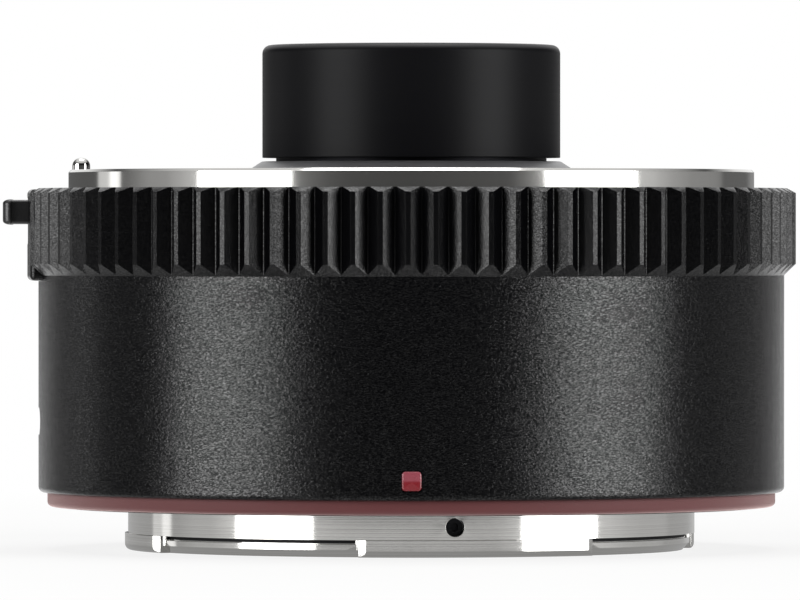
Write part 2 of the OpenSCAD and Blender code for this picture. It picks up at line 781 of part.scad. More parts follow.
module outer_barrel() {
    color("#1b1b1d")
    difference() {
        turned(concat(
            [[shell_in_r, shell_z]],
            corner(body_r - barrel_round, shell_z + barrel_round, barrel_round, -90, 0),
            [[body_r, grip_z], [seat_r, grip_z], [seat_r, shell_top]],
            [[lip_r, shell_top], [lip_r, lip_z], [shell_in_r, lip_z]]
        ));
        across(-pocket_out, -pocket_in, pocket_w, web_top, shell_top + over);
        across(-body_r - over, -pocket_in, slot_w, slot_z, slot_top);
        difference() {
            across(-body_r - over, 0, frame_w + 2 * fit, frame_z - fit, grip_z + fit);
            cylinder(r = seat_r, h = shell_top);
        }
        round_bar(-body_r - over, -chassis_in_r, port_w, port_h, port_round, port_z);
        rotate([0, 0, index_side])
            round_bar(body_r - mark_sink, body_r + over, mark_w, mark_w, mark_round, mark_z);
    }
}

module grip_ring() {
    pitch = 360 / rib_count;
    valley_r = grip_r - rib_depth;
    valley_half = rib_valley / 2 / valley_r * 180 / PI;
    land_half = rib_land / 2 / grip_r * 180 / PI;
    past_r = grip_r + hair;
    outline = [
        for (i = [0:rib_count - 1], p = [0:3])
            let (
                middle = index_side + rib_phase + i * pitch + (p < 2 ? 0 : pitch / 2),
                half = (p < 2 ? valley_half : land_half) * (p % 2 == 0 ? -1 : 1),
                r = p < 2 ? valley_r : grip_r
            )
            [r * cos(middle + half), r * sin(middle + half)]
    ];
    color("#151517")
    difference() {
        intersection() {
            translate([0, 0, grip_z])
                linear_extrude(grip_h)
                    polygon(outline);
            turned([
                [grip_in_r, grip_z], [body_r, grip_z],
                [past_r, grip_z + grip_proud], [past_r, shell_top - rib_edge_h],
                [grip_r - rib_edge, shell_top], [grip_in_r, shell_top]
            ]);
        }
        across(-grip_r - over, 0, frame_w + 2 * fit, grip_z - over, shell_top + over);
    }
}

module accent_ring() {
    color("#8d2f33")
    turned(concat(
        [[flange_r + fit, accent_lift]],
        corner(accent_r - accent_round, accent_lift + accent_round, accent_round, -90, 0),
        [[accent_r, shell_z], [flange_r - rebate + fit, shell_z]],
        [[flange_r - rebate + fit, rebate_z + fit], [flange_r + fit, rebate_z + fit]]
    ));
}

module index_mark() {
    foot = body_r - mark_sink;
    w = mark_w - 2 * fit;
    top_w = w - 2 * mark_step;
    color("#a4202c")
    rotate([0, 0, index_side])
        union() {
            round_bar(foot, body_r + mark_proud / 2, w, w, mark_round, mark_z);
            round_bar(foot, body_r + mark_proud, top_w, top_w, mark_round / 2, mark_z);
        }
}

// Both ends of each rear claw, from z_low to z_high, with an outline whose claw lies on +Y
module at_claw_ends(z_low, z_high) {
    for (start = claw_starts, end = [0, 1])
        rotate([0, 0, index_side + start + end * claw_span])
            translate([0, 0, (z_low + z_high) / 2])
                rotate([180 * end, 0, 0])
                    linear_extrude(z_high - z_low, center = true)
                        children();
}

module ramp_outline() {
    low = claw_r - 2 * claw_ramp_depth;
    high = claw_r + claw_ramp_depth;
    polygon([[low, -claw_ramp], [high, -claw_ramp], [high, 2 * claw_ramp]]);
}

module fillet_outline() {
    root = relief_r - claw_fillet;
    top = gap_r + claw_fillet - shim;
    difference() {
        polygon([[root, -claw_fillet], [top, -claw_fillet], [top, claw_fillet], [root, claw_fillet]]);
        translate([top, shim - claw_fillet])
            circle(claw_fillet);
    }
}

module rear_mount() {
    foot = -bayonet_h;
    under_neck = -neck_h;
    root_r = relief_r - tube_wall / 2;
    color("#c9c9c6")
    difference() {
        union() {
            turned([
                [rear_bore_r, foot], [gap_r - gap_edge, foot], [gap_r, foot + gap_edge],
                [gap_r, under_neck - relief_h], [relief_r, under_neck - relief_h],
                [relief_r, under_neck], [neck_r, under_neck], [neck_r, seat_relief_t],
                [seat_relief_r, seat_relief_t], [seat_relief_r, 0], [flange_r, 0],
                [flange_r, rebate_z], [flange_r - rebate, rebate_z],
                [flange_r - rebate, flange_t], [rear_bore_r, flange_t]
            ]);
            difference() {
                for (start = claw_starts)
                    turned(concat(
                        [[root_r, foot]],
                        corner(claw_r - claw_round, foot + claw_round, claw_round, -90, 0),
                        [[claw_r, under_neck], [root_r, under_neck]]
                    ), index_side + start, claw_span);
                at_claw_ends(foot - over, under_neck + over) ramp_outline();
            }
            at_claw_ends(foot + gap_edge + shim, under_neck) fillet_outline();
        }
        at_rear_screws() countersink(screw_len);
        drill(pin_at, release_side, pin_hole_r + fit, -over, pin_rise);
        rotate([0, 0, index_side + stop_angle])
            translate([rear_bore_r - over, 0, -neck_h / 2])
                rotate([0, 90, 0])
                    cylinder(d = stop_hole_d, h = claw_r);
    }
}

module rear_mount_screws() {
    color("#b0b0ad")
    at_rear_screws() countersunk_screw(screw_len);
}

module stop_screw() {
    foot_r = rear_bore_r + tip_gap;
    length = neck_r - stop_sunk - foot_r;
    color("#3c3c3e")
    rotate([0, 0, index_side + stop_angle])
        translate([foot_r, 0, -neck_h / 2])
            rotate([0, 90, 0])
                difference() {
                    cylinder(d = stop_hole_d - 2 * fit, h = length);
                    translate([0, 0, length / 2])
                        cylinder(d = stop_hole_d / 2, h = length, $fn = 6);
                }
}

module rear_plate() {
    color("#4a4b4e")
    difference() {
        union() {
            ring(chassis_r, rear_hole_r, flange_t, rear_plate_top);
            for (a = thirds)
                drill(board_screw_at, a, post_r, rear_plate_top, board_z);
        }
        at_rear_screws() countersink(screw_len);
        for (a = thirds)
            drill(board_screw_at, a, board_screw_r + fit, rear_plate_top - tip_gap, board_z + over);
        flex_slot(flange_t - over, rear_plate_top + over);
        for (side = [-1, 1])
            drill(
                contact_r, contact_side + side * rear_contact_screw_at,
                contact_screw_r + fit, flange_t - over, rear_plate_top - tip_gap
            );
    }
}

module rear_baffle() {
    color("#141415")
    difference() {
        union() {
            disc(mask_r, mask_z, flange_t);
            disc(spigot_r, flange_t - mask_t / 2, spigot_top);
        }
        intersection() {
            translate([0, 0, mask_z])
                cube([window_w, window_h, 2 * (spigot_top - mask_z) + over], center = true);
            disc(window_r, mask_z - over, spigot_top);
        }
        disc(window_r, flange_t, spigot_top + over);
    }
}

module rear_contact_block() {
    color("#1c1c1e")
    difference() {
        ring(
            block_out, block_in, rear_block_z, flange_t,
            contact_side - rear_block_half, 2 * rear_block_half
        );
        for (i = [1:contact_count])
            rotate([0, 0, contact_angle(i)])
                across(
                    contact_r - pad_l / 2 - shim, contact_r + pad_l / 2 + shim, pad_w + 2 * shim,
                    rear_block_z - over, rear_block_z + pad_t - pad_proud
                );
        for (side = [-1, 1]) {
            angle = contact_side + side * rear_contact_screw_at;
            drill(contact_r, angle, contact_screw_r + fit, rear_block_z - over, flange_t + over);
            drill(contact_r, angle, contact_head_r + fit, rear_block_z - over, contact_head_z);
        }
    }
}

module rear_contact_pads() {
    color("#c9a04a")
    for (i = [1:contact_count])
        rotate([0, 0, contact_angle(i)])
            across(
                contact_r - pad_l / 2, contact_r + pad_l / 2, pad_w,
                rear_block_z - pad_proud, rear_block_z + pad_t - pad_proud
            );
}

module rear_contact_screws() {
    length = rear_plate_top - 2 * tip_gap - contact_head_z;
    color("#8f8f8c")
    for (side = [-1, 1])
        rotate([0, 0, contact_side + side * rear_contact_screw_at])
            translate([contact_r, 0, contact_head_z])
                rotate([180, 0, 0])
                    pan_screw(contact_screw_r, contact_head_r, contact_head_h, length);
}

module chassis() {
    port_cut_h = socket_h + 2 * socket_room;
    color("#55565a")
    difference() {
        union() {
            turned([
                [chassis_r, rear_plate_top], [chassis_r, lip_z], [nose_r, lip_z],
                [nose_r, shell_top], [leaf_r + fit, shell_top], [leaf_r + fit, leaf_z],
                [well_r, leaf_z], [well_r, floor_z], [ledge_r, floor_z], [ledge_r, ledge_z],
                [chassis_in_r, ledge_z], [chassis_in_r, web_top],
                [lens_barrel_r + fit, web_top], [lens_barrel_r + fit, web_z],
                [chassis_in_r, web_z], [chassis_in_r, rear_plate_top]
            ]);
            for (a = screw_angles)
                drill(rear_screw_r, a, boss_r, rear_plate_top + shim, rear_plate_top + screw_len);
        }
        at_rear_screws() countersink(screw_len);
        at_front_screws() countersink(screw_len);
        for (a = barrel_screw_angles)
            drill(barrel_screw_r, a, board_screw_r + fit, web_z - over, web_top + over);
        across(-chassis_r - over, -pocket_in, pocket_w, web_top, shell_top + over);
        across(
            -chassis_r - over, -chassis_in_r + socket_room, socket_w + 2 * socket_room,
            port_z - port_cut_h / 2, port_z + port_cut_h / 2
        );
        flex_slot(web_z - over, web_top + over);
    }
}

module front_mount() {
    color("#c9c9c6")
    difference() {
        turned([
            [throat_r, claw_plate_z], [leaf_r, claw_plate_z], [leaf_r, plate_z],
            [plate_r, plate_z], [plate_r, flange_gap - plate_edge],
            [plate_r - plate_edge, flange_gap],
            [throat_r, flange_gap]
        ]);
        for (start = claw_starts)
            ring(
                notch_r, throat_r - over, claw_plate_z - over, flange_gap + over,
                index_side + start - bayonet_turn - claw_play / 2, claw_span + claw_play
            );
        at_front_screws() countersink(screw_len);
        drill(pin_at, release_side, pin_hole_r, plate_z - over, flange_gap + over);
    }
}

module front_mount_screws() {
    color("#b0b0ad")
    at_front_screws() countersunk_screw(screw_len);
}

module bayonet_springs() {
    color("#9a9a98")
    for (i = [0:claw_count - 1]) {
        span = gap_width(i) - leaf_play;
        from = index_side + gap_middle(i) - bayonet_turn - span / 2;
        ring(leaf_r - fit, throat_r + leaf_inset, leaf_z, leaf_z + leaf_t, from, span);
    }
}

module front_baffle() {
    color("#161617")
    difference() {
        turned([
            [collar_in_r, floor_z], [well_r - fit, floor_z], [well_r - fit, well_floor],
            [collar_r + fit, well_floor], [collar_r + fit, collar_foot], [collar_in_r, collar_foot]
        ]);
        ring(
            block_out + fit, block_in - fit, floor_z - over, well_floor + over,
            contact_side - block_half - block_play, 2 * (block_half + block_play)
        );
        for (side = [-1, 1])
            drill(
                contact_r, contact_side + side * front_contact_screw_at,
                contact_screw_r + fit, floor_z - over, well_floor - tip_gap / 2
            );
    }
}

module hood_collar() {
    color("#1a1a1b")
    turned([
        [collar_in_r, collar_foot], [collar_r, collar_foot], [collar_r, collar_z],
        [collar_top_r, collar_top], [collar_in_r, collar_top]
    ]);
}

module front_contact_block() {
    color("#1c1c1e")
    difference() {
        union() {
            ring(
                block_out, block_in, foot_z, front_block_top,
                contact_side - block_half, 2 * block_half
            );
            ring(
                foot_out, foot_in, foot_z, foot_z + foot_t,
                contact_side - foot_half, 2 * foot_half
            );
        }
        for (i = [1:contact_count]) {
            angle = contact_angle(i);
            drill(contact_r, angle, contact_d / 2 + fit, foot_z - over, front_block_top + over);
            drill(contact_r, angle, chamber_r, foot_z - over, chamber_top);
        }
        for (side = [-1, 1])
            drill(
                contact_r, contact_side + side * front_contact_screw_at,
                contact_screw_r + fit, foot_z - over, front_block_top
            );
    }
}

module front_contact_screws() {
    length = foot_t + floor_t - tip_gap;
    color("#8f8f8c")
    for (side = [-1, 1])
        rotate([0, 0, contact_side + side * front_contact_screw_at])
            translate([contact_r, 0, foot_z])
                rotate([180, 0, 0])
                    pan_screw(contact_screw_r, contact_head_r, contact_head_h, length);
}

module contact_pin(i) {
    r = contact_d / 2;
    flange_top = chamber_top - fit;
    dome_z = front_block_top + contact_rise - r;
    color("#cfa650")
    rotate([0, 0, contact_angle(i)])
        translate([contact_r, 0, 0]) {
            disc(contact_flange_r, flange_top - contact_flange_t, flange_top);
            disc(r, flange_top - contact_flange_t / 2, dome_z);
            translate([0, 0, dome_z])
                sphere(r);
        }
}

module flex_cable() {
    sheet_half = contact_span / 2 + flex_end;
    strip_in = contact_r - flex_t / 2;
    strip_out = contact_r + flex_t / 2;
    color("#a5692c") {
        ring(
            block_out - flex_inset, block_in + flex_inset, foot_z - flex_t, foot_z,
            contact_side - sheet_half, 2 * sheet_half
        );
        rotate([0, 0, contact_side]) {
            across(strip_in, strip_out, flex_w, board_top, foot_z - flex_t);
            across(strip_in, strip_out, flex_w, flange_t, board_z);
        }
    }
}

module main_board() {
    tab_w = socket_w + 2 * tab_lap;
    color("#1f5a35")
    difference() {
        union() {
            ring(board_out_r, board_in_r, board_z, board_top);
            across(-chassis_in_r + tab_inset, -board_screw_at, tab_w, board_z, board_top);
        }
        for (a = thirds)
            drill(board_screw_at, a, board_screw_r + fit, board_z - over, board_top + over);
    }
}

module board_chips() {
    color("#242426")
    for (chip = chips)
        rotate([0, 0, chip[0]])
            translate([board_screw_at, 0, board_top + chip[2] / 2])
                cube([chip[1], chip[1], chip[2]], center = true);
}

module board_screws() {
    length = board_top - rear_plate_top;
    color("#9c9c99")
    for (a = thirds)
        rotate([0, 0, a])
            translate([board_screw_at, 0, board_top])
                pan_screw(board_screw_r, board_head_r, board_head_h, length);
}

module usb_socket() {
    color("#b8b8b5")
    difference() {
        round_bar(
            -socket_front, socket_back, socket_w, socket_h, socket_round, port_z
        );
        round_bar(
            -socket_front - over, socket_back - socket_wall,
            socket_w - 2 * socket_wall, socket_h - 2 * socket_wall,
            socket_round - socket_wall, port_z
        );
    }
}

module usb_tongue() {
    inset = socket_wall + fit;
    tongue_w = socket_w - 2 * (socket_wall + tongue_gap);
    front = -socket_front + tongue_gap;
    back = socket_back - socket_wall;
    color("#19191a") {
        across(front, back, tongue_w, port_z - tongue_t / 2, port_z + tongue_t / 2);
        round_bar(
            back - tongue_base, back, socket_w - 2 * inset, socket_h - 2 * inset,
            socket_round - inset, port_z
        );
    }
}

module front_hood() {
    color("#111112")
    turned(concat(
        [[tube_r + fit, hood_z], [hood_r, hood_z]],
        corner(hood_r - hood_round, hood_top - hood_round, hood_round, 0, 90),
        [[front_bore, hood_top], [front_bore - mouth_taper, hood_top - hood_lip]],
        [[tube_r + fit, hood_top - hood_lip]]
    ));
}

module lens_barrel() {
    color("#2a2a2c")
    difference() {
        turned([
            [seat_bore, lip_2], [seat_bore, seat_1], [front_bore, seat_1], [front_bore, tube_top],
            [tube_r, tube_top], [tube_r, shoulder_z], [shoulder_r, shoulder_z],
            [shoulder_r, barrel_flange_top], [barrel_flange_r, barrel_flange_top],
            [barrel_flange_r, web_top], [lens_barrel_r, web_top], [lens_barrel_r, lens_barrel_z],
            [bore_5, lens_barrel_z], [bore_5, step_5], [bore_4, step_5], [bore_4, step_4],
            [bore_3, step_4], [bore_3, step_3], [bore_2, step_3], [bore_2, lip_2]
        ]);
        for (a = barrel_screw_angles)
            drill(
                barrel_screw_r, a, board_screw_r + fit, web_top - over, barrel_flange_top + over
            );
    }
}

module barrel_screws() {
    length = barrel_flange_t + web_t - tip_gap;
    color("#9c9c99")
    for (a = barrel_screw_angles)
        rotate([0, 0, a])
            translate([barrel_screw_r, 0, barrel_flange_top])
                pan_screw(board_screw_r, board_head_r, board_head_h, length);
}

module front_retaining_ring() {
    r_in = rim_1 - front_ring_w;
    z = lens_1_front - sag(curve_1, r_in) + shim;
    color("#202022")
    difference() {
        ring(rim_1, r_in, z, z + ring_h);
        translate([0, 0, z + ring_h])
            cube([2 * rim_1 + over, spanner_w, 2 * spanner_d], center = true);
    }
}

module rear_retaining_ring() {
    r_in = rim_5 - rear_ring_w;
    z = lens_8_back + sag(curve_13, r_in) - shim;
    color("#202022")
    difference() {
        ring(rim_5, r_in, z - ring_h, z);
        translate([0, 0, z - ring_h])
            cube([2 * rim_5 + over, spanner_w, 2 * spanner_d], center = true);
    }
}

// A ring of the outer radius r between the faces behind and before it
module spacer(r, z_low, z_high) {
    color("#2c2c2e")
    ring(r, r - spacer_wall, z_low, z_high);
}

module spacer_1() {
    spacer(
        rim_2, lens_5_front + sag(curve_7, rim_2) + shim,
        lens_4_back + sag(curve_6, rim_2 - spacer_wall) - shim
    );
}

module spacer_2() {
    spacer(
        rim_3, lens_6_front + sag(curve_9, rim_3) + shim,
        lens_5_back + sag(curve_8, rim_3 - spacer_wall) - shim
    );
}

module spacer_3() {
    spacer(
        rim_4, lens_8_front + sag(curve_12, rim_4) + shim,
        lens_7_back + sag(curve_11, rim_4 - spacer_wall) - shim
    );
}

// A glass element of the radius r between its front and back vertex. A positive curve bulges
// out of the glass and a negative one is hollow.
module element(r, front, back, front_curve, back_curve) {
    rise = front_curve < 0 ? sag(-front_curve, r) : 0;
    drop = back_curve < 0 ? sag(-back_curve, r) : 0;
    $fn = 240;
    color("#9fb4c4", 0.6)
    difference() {
        intersection() {
            translate([0, 0, back - drop])
                cylinder(r = r, h = front - back + rise + drop);
            if (front_curve > 0)
                translate([0, 0, front - front_curve])
                    sphere(front_curve);
            if (back_curve > 0)
                translate([0, 0, back + back_curve])
                    sphere(back_curve);
        }
        if (front_curve < 0)
            translate([0, 0, front - front_curve])
                sphere(-front_curve);
        if (back_curve < 0)
            translate([0, 0, back + back_curve])
                sphere(-back_curve);
    }
}

module lens(i) {
    if (i == 1) element(rim_1, lens_1_front, lens_1_back, curve_1, curve_2);
    if (i == 2) element(rim_1, lens_2_front, lens_2_back, -curve_2, -curve_3);
    if (i == 3) element(rim_2, lens_3_front, lens_3_back, -curve_4, -curve_5);
    if (i == 4) element(rim_2, lens_4_front, lens_4_back, curve_5, curve_6);
    if (i == 5) element(rim_3, lens_5_front, lens_5_back, -curve_7, curve_8);
    if (i == 6) element(rim_4, lens_6_front, lens_6_back, -curve_9, -curve_10);
    if (i == 7) element(rim_4, lens_7_front, lens_7_back, curve_10, curve_11);
    if (i == 8) element(rim_5, lens_8_front, lens_8_back, -curve_12, curve_13);
}

module release_frame() {
    middle = (frame_z + frame_top) / 2;
    color("#18181a")
    difference() {
        intersection() {
            ring(frame_r, grip_in_r, frame_z, frame_top);
            round_bar(-grip_r - over, 0, frame_w, frame_top - frame_z, frame_round, middle);
        }
        across(-grip_r - over, 0, slot_w, slot_z, slot_top);
    }
}

module release_knob() {
    color("#1a1a1c")
    difference() {
        union() {
            round_bar(-knob_end + tip_t / 2, -carriage_out, stem_w, stem_h, stem_round, knob_z);
            round_bar(-knob_end, -knob_end + tip_t, knob_w, knob_h, tip_round, knob_z);
        }
        for (side = [-1, 1])
            translate([-carriage_out - release_bite - tip_gap, side * release_screw_y, knob_z])
                rotate([0, 90, 0])
                    cylinder(r = release_screw_r + shim, h = release_bite + tip_gap + over);
    }
}

module release_carriage() {
    color("#77787a")
    difference() {
        across(-carriage_out, -carriage_in, carriage_w, carriage_z, carriage_top);
        drill(pin_at, release_side, pin_r + shim, pin_foot, carriage_top + over);
        for (side = [-1, 1])
            translate([-carriage_out, side * release_screw_y, knob_z])
                rotate([0, 90, 0]) {
                    translate([0, 0, -over])
                        cylinder(r = release_screw_r + shim, h = carriage_t + 2 * over);
                    translate([0, 0, carriage_t - release_head_h - fit])
                        cylinder(r = release_head_r + shim, h = release_head_h + fit + over);
                }
    }
}

module release_screws() {
    under_head = carriage_in + release_head_h + fit;
    length = carriage_out + release_bite - under_head;
    color("#9c9c99")
    for (side = [-1, 1])
        translate([-under_head, side * release_screw_y, knob_z])
            rotate([0, 90, 0])
                pan_screw(release_screw_r, release_head_r, release_head_h, length);
}

module lock_pin() {
    dome = pin_r / 2;
    tip = flange_gap + pin_rise;
    foot = pin_foot + shim;
    color("#d2d2d0")
    rotate([0, 0, release_side])
        translate([pin_at, 0, 0])
            turned(concat(
                [[0, foot], [pin_r, foot]],
                corner(pin_r - dome, tip - dome, dome, 0, 90),
                [[0, tip]]
            ));
}

// Points of one square-cut ring of the coil at the turn angle a
function coil_ring(a, z) =
    [for (k = [0:5]) let (
        r = spring_r + spring_wire / 2 * cos(60 * k),
        h = z + spring_wire / 2 * sin(60 * k)
    ) [r * cos(a), r * sin(a), h]];

module lock_spring() {
    rings = 8 * spring_turns;
    low = spring_wire / 2;
    climb = spring_h - spring_wire;
    points = [
        for (i = [0:rings], p = coil_ring(i * 45, low + climb * i / rings)) p
    ];
    sides = [
        for (i = [0:rings - 1], k = [0:5])
            let (a = 6 * i + k, b = 6 * i + (k + 1) % 6)
            each [[a, a + 6, b], [b, a + 6, b + 6]]
    ];
    last = 6 * rings;
    ends = [
        for (k = [1:4])
            each [[0, k, k + 1], [last, last + k + 1, last + k]]
    ];
    color("#a8a8a6")
    translate([-spring_at, 0, spring_z])
        polyhedron(points, concat(sides, ends));
}

outer_barrel();
grip_ring();
accent_ring();
index_mark();
rear_mount();
rear_mount_screws();
stop_screw();
rear_plate();
rear_baffle();
rear_contact_block();
rear_contact_pads();
rear_contact_screws();
chassis();
front_mount();
front_mount_screws();
bayonet_springs();
front_baffle();
hood_collar();
front_contact_block();
front_contact_screws();
for (i = [1:contact_count])
    contact_pin(i);
flex_cable();
main_board();
board_chips();
board_screws();
usb_socket();
usb_tongue();
front_hood();
lens_barrel();
barrel_screws();
front_retaining_ring();
rear_retaining_ring();
spacer_1();
spacer_2();
spacer_3();
for (i = [1:8])
    lens(i);
release_frame();
release_knob();
release_carriage();
release_screws();
lock_pin();
lock_spring();
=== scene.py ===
"""Looks for a two-times camera teleconverter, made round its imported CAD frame.

The frame's origin is the middle of the rear flange plane. +Z runs to the front along the optical axis,
-Y is the side with the index mark and -X the side with the release knob and the data port.
Names that end in _MM hold millimetres. Every mesh is made in metres, in the frame's own place.
"""
import math

import bmesh
import bpy
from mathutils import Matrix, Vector


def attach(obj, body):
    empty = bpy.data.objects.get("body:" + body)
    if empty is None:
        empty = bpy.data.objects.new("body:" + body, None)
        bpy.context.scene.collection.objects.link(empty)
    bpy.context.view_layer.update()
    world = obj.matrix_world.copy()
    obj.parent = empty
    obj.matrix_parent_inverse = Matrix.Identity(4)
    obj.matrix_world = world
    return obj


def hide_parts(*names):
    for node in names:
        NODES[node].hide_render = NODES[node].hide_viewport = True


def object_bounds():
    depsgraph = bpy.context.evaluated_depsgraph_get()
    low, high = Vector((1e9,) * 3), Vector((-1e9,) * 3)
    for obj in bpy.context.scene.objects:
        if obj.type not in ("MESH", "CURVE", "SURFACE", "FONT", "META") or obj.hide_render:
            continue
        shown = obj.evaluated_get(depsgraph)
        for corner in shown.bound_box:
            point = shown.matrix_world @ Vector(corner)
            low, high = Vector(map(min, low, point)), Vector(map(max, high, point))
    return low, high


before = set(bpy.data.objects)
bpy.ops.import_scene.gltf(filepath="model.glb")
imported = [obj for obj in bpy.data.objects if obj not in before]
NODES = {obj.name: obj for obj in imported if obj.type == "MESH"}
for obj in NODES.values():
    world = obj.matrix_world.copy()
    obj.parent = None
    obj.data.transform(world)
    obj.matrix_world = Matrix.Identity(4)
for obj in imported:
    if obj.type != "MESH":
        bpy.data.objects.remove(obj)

CAD_LOW, CAD_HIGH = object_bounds()
MM = 0.001

# The photograph's view: its frame, the column of the optical axis, the row at eye level, the row of the
# flange plane, the size of a pixel at the axis and the camera's distance from the axis
PHOTO_W_PX, PHOTO_H_PX = 800, 600
AXIS_X_PX = 411.3
EYE_Y_PX = 234
FLANGE_Y_PX = 506.8
PIXEL_MM = 0.095
CAMERA_AWAY_MM = 963
SENSOR_MM = 36

# Sizes of the pieces that are modelled here, as the frame has them; half sizes run across and up
CORNER_STEPS = 8
KNOB_Z_MM = 28.0
KNOB_TIP_X_MM = (-37.92, -38.7)
KNOB_TIP_HALF_MM = (3.5, 1.2)
KNOB_STEM_X_MM = (-32.7, -38.3)
KNOB_STEM_HALF_MM = (3.0, 1.15)
FRAME_LOW_MM, FRAME_TOP_MM = 21.5, 30.15
FRAME_HALF_W_MM = 6.0
FRAME_R_MM = (34.45, 36.45)
SLOT_LOW_MM, SLOT_TOP_MM = 25.05, 29.25
SLOT_HALF_W_MM = 3.1
SLOT_CHAMFER_MM = 0.12
HOOD_TOP_MM = 43.85
BEAD_Z_MM = 3.27
BEAD_Y_MM = (-34.8, -35.62)
BEAD_HALF_MM = 0.9
PIN_X_MM = -31.35
PIN_Z_MM = (26.22, 33.15)
PIN_R_MM = 0.85

# The shoulder of the index bead: how far below the top, and how far it is drawn in there
BEAD_SHOULDER_MM = (
    (0.16, 0.0), (0.1, 0.025), (0.06, 0.07), (0.035, 0.13),
    (0.022, 0.2), (0.01, 0.36), (0.003, 0.56), (0.0, 0.8),
)

# The relief groove of the bayonet and the rim of its flange, which get painted shade, each as its radii and
# its heights
GROOVE_MM = ((25.6, 26.2), (-2.74, -2.42))
RIM_MM = ((32.9, 33.1), (-0.01, 0.4))

# How much longer a fold of the lacquer is round the part than along it
FOLD_STRETCH = 2.6


# Nodes and colours

def srgb(code):
    """The linear colour of an sRGB hex value."""
    parts = [int(code[i:i + 2], 16) / 255 for i in (1, 3, 5)]
    return tuple(c / 12.92 if c <= 0.04045 else ((c + 0.055) / 1.055) ** 2.4 for c in parts) + (1.0,)


def feed(tree, node, inputs):
    """Sets the node's named inputs, each to a value or to another node's output."""
    for name, value in inputs.items():
        if isinstance(value, bpy.types.NodeSocket):
            tree.links.new(value, node.inputs[name])
        else:
            node.inputs[name].default_value = value
    return node


def add(tree, kind, inputs=None, **settings):
    """Adds a node with its settings and its inputs."""
    node = tree.nodes.new(kind)
    for name, value in settings.items():
        setattr(node, name, value)
    return feed(tree, node, inputs or {})


def in_mm(tree):
    """The frame's coordinates in millimetres, for patterns."""
    place = add(tree, "ShaderNodeTexCoord").outputs["Object"]
    return add(tree, "ShaderNodeVectorMath", {0: place, 1: (1 / MM,) * 3}, operation="MULTIPLY").outputs[0]


def around_axis(tree, mm):
    """Coordinates that are the same all round the optical axis, for marks left by a lathe."""
    flat = add(tree, "ShaderNodeVectorMath", {0: mm, 1: (1, 1, 0)}, operation="MULTIPLY")
    reach = add(tree, "ShaderNodeVectorMath", {0: flat.outputs[0]}, operation="LENGTH").outputs["Value"]
    height = add(tree, "ShaderNodeSeparateXYZ", {0: mm}).outputs["Z"]
    return add(tree, "ShaderNodeCombineXYZ", {"X": reach, "Z": height}).outputs[0]


def start(name, **inputs):
    """A new material with its shader and the coordinates for its patterns."""
    material = bpy.data.materials.new(name)
    material.use_nodes = True
    tree = material.node_tree
    tree.nodes.clear()
    shader = add(tree, "ShaderNodeBsdfPrincipled", inputs)
    add(tree, "ShaderNodeOutputMaterial", {"Surface": shader.outputs[0]})
    return material, tree, shader, in_mm(tree)


# Finishes

def wrinkle_lacquer(name, fold_mm, depth_mm, crease, crest, rough):
    """Black wrinkle lacquer stoved on aluminium. It dries into small worm-like folds that run mostly round
    the part. Their crests mirror more than the creases between them, which breaks a broad highlight into
    grains; where no lamp is mirrored the lacquer stays dark."""
    material, tree, shader, mm = start(name)
    along = add(tree, "ShaderNodeVectorMath", {0: mm, 1: (1, 1, FOLD_STRETCH)}, operation="MULTIPLY")
    folds = add(tree, "ShaderNodeTexNoise", {
        "Vector": along.outputs[0], "Scale": 1 / fold_mm, "Detail": 1.0, "Roughness": 0.5, "Distortion": 0.8,
    }).outputs["Fac"]
    bump = add(tree, "ShaderNodeBump", {"Height": folds, "Strength": 1.0, "Distance": depth_mm * MM})
    height = add(tree, "ShaderNodeMapRange", {"Value": folds, "From Min": 0.3, "From Max": 0.7})
    tint = add(tree, "ShaderNodeMix", {
        "Factor": height.outputs[0], "A": srgb("#020203"), "B": srgb("#050506"),
    }, data_type="RGBA")
    shine = add(tree, "ShaderNodeMapRange", {
        "Value": folds, "From Min": 0.42, "From Max": 0.75, "To Min": crease, "To Max": crest,
    })
    dull = add(tree, "ShaderNodeMapRange", {
        "Value": folds, "From Min": 0.3, "From Max": 0.7, "To Min": rough + 0.05, "To Max": rough - 0.04,
    })
    feed(tree, shader, {
        "Base Color": tint.outputs["Result"],
        "Specular IOR Level": shine.outputs[0],
        "Roughness": dull.outputs[0],
        "Normal": bump.outputs[0],
    })
    return material


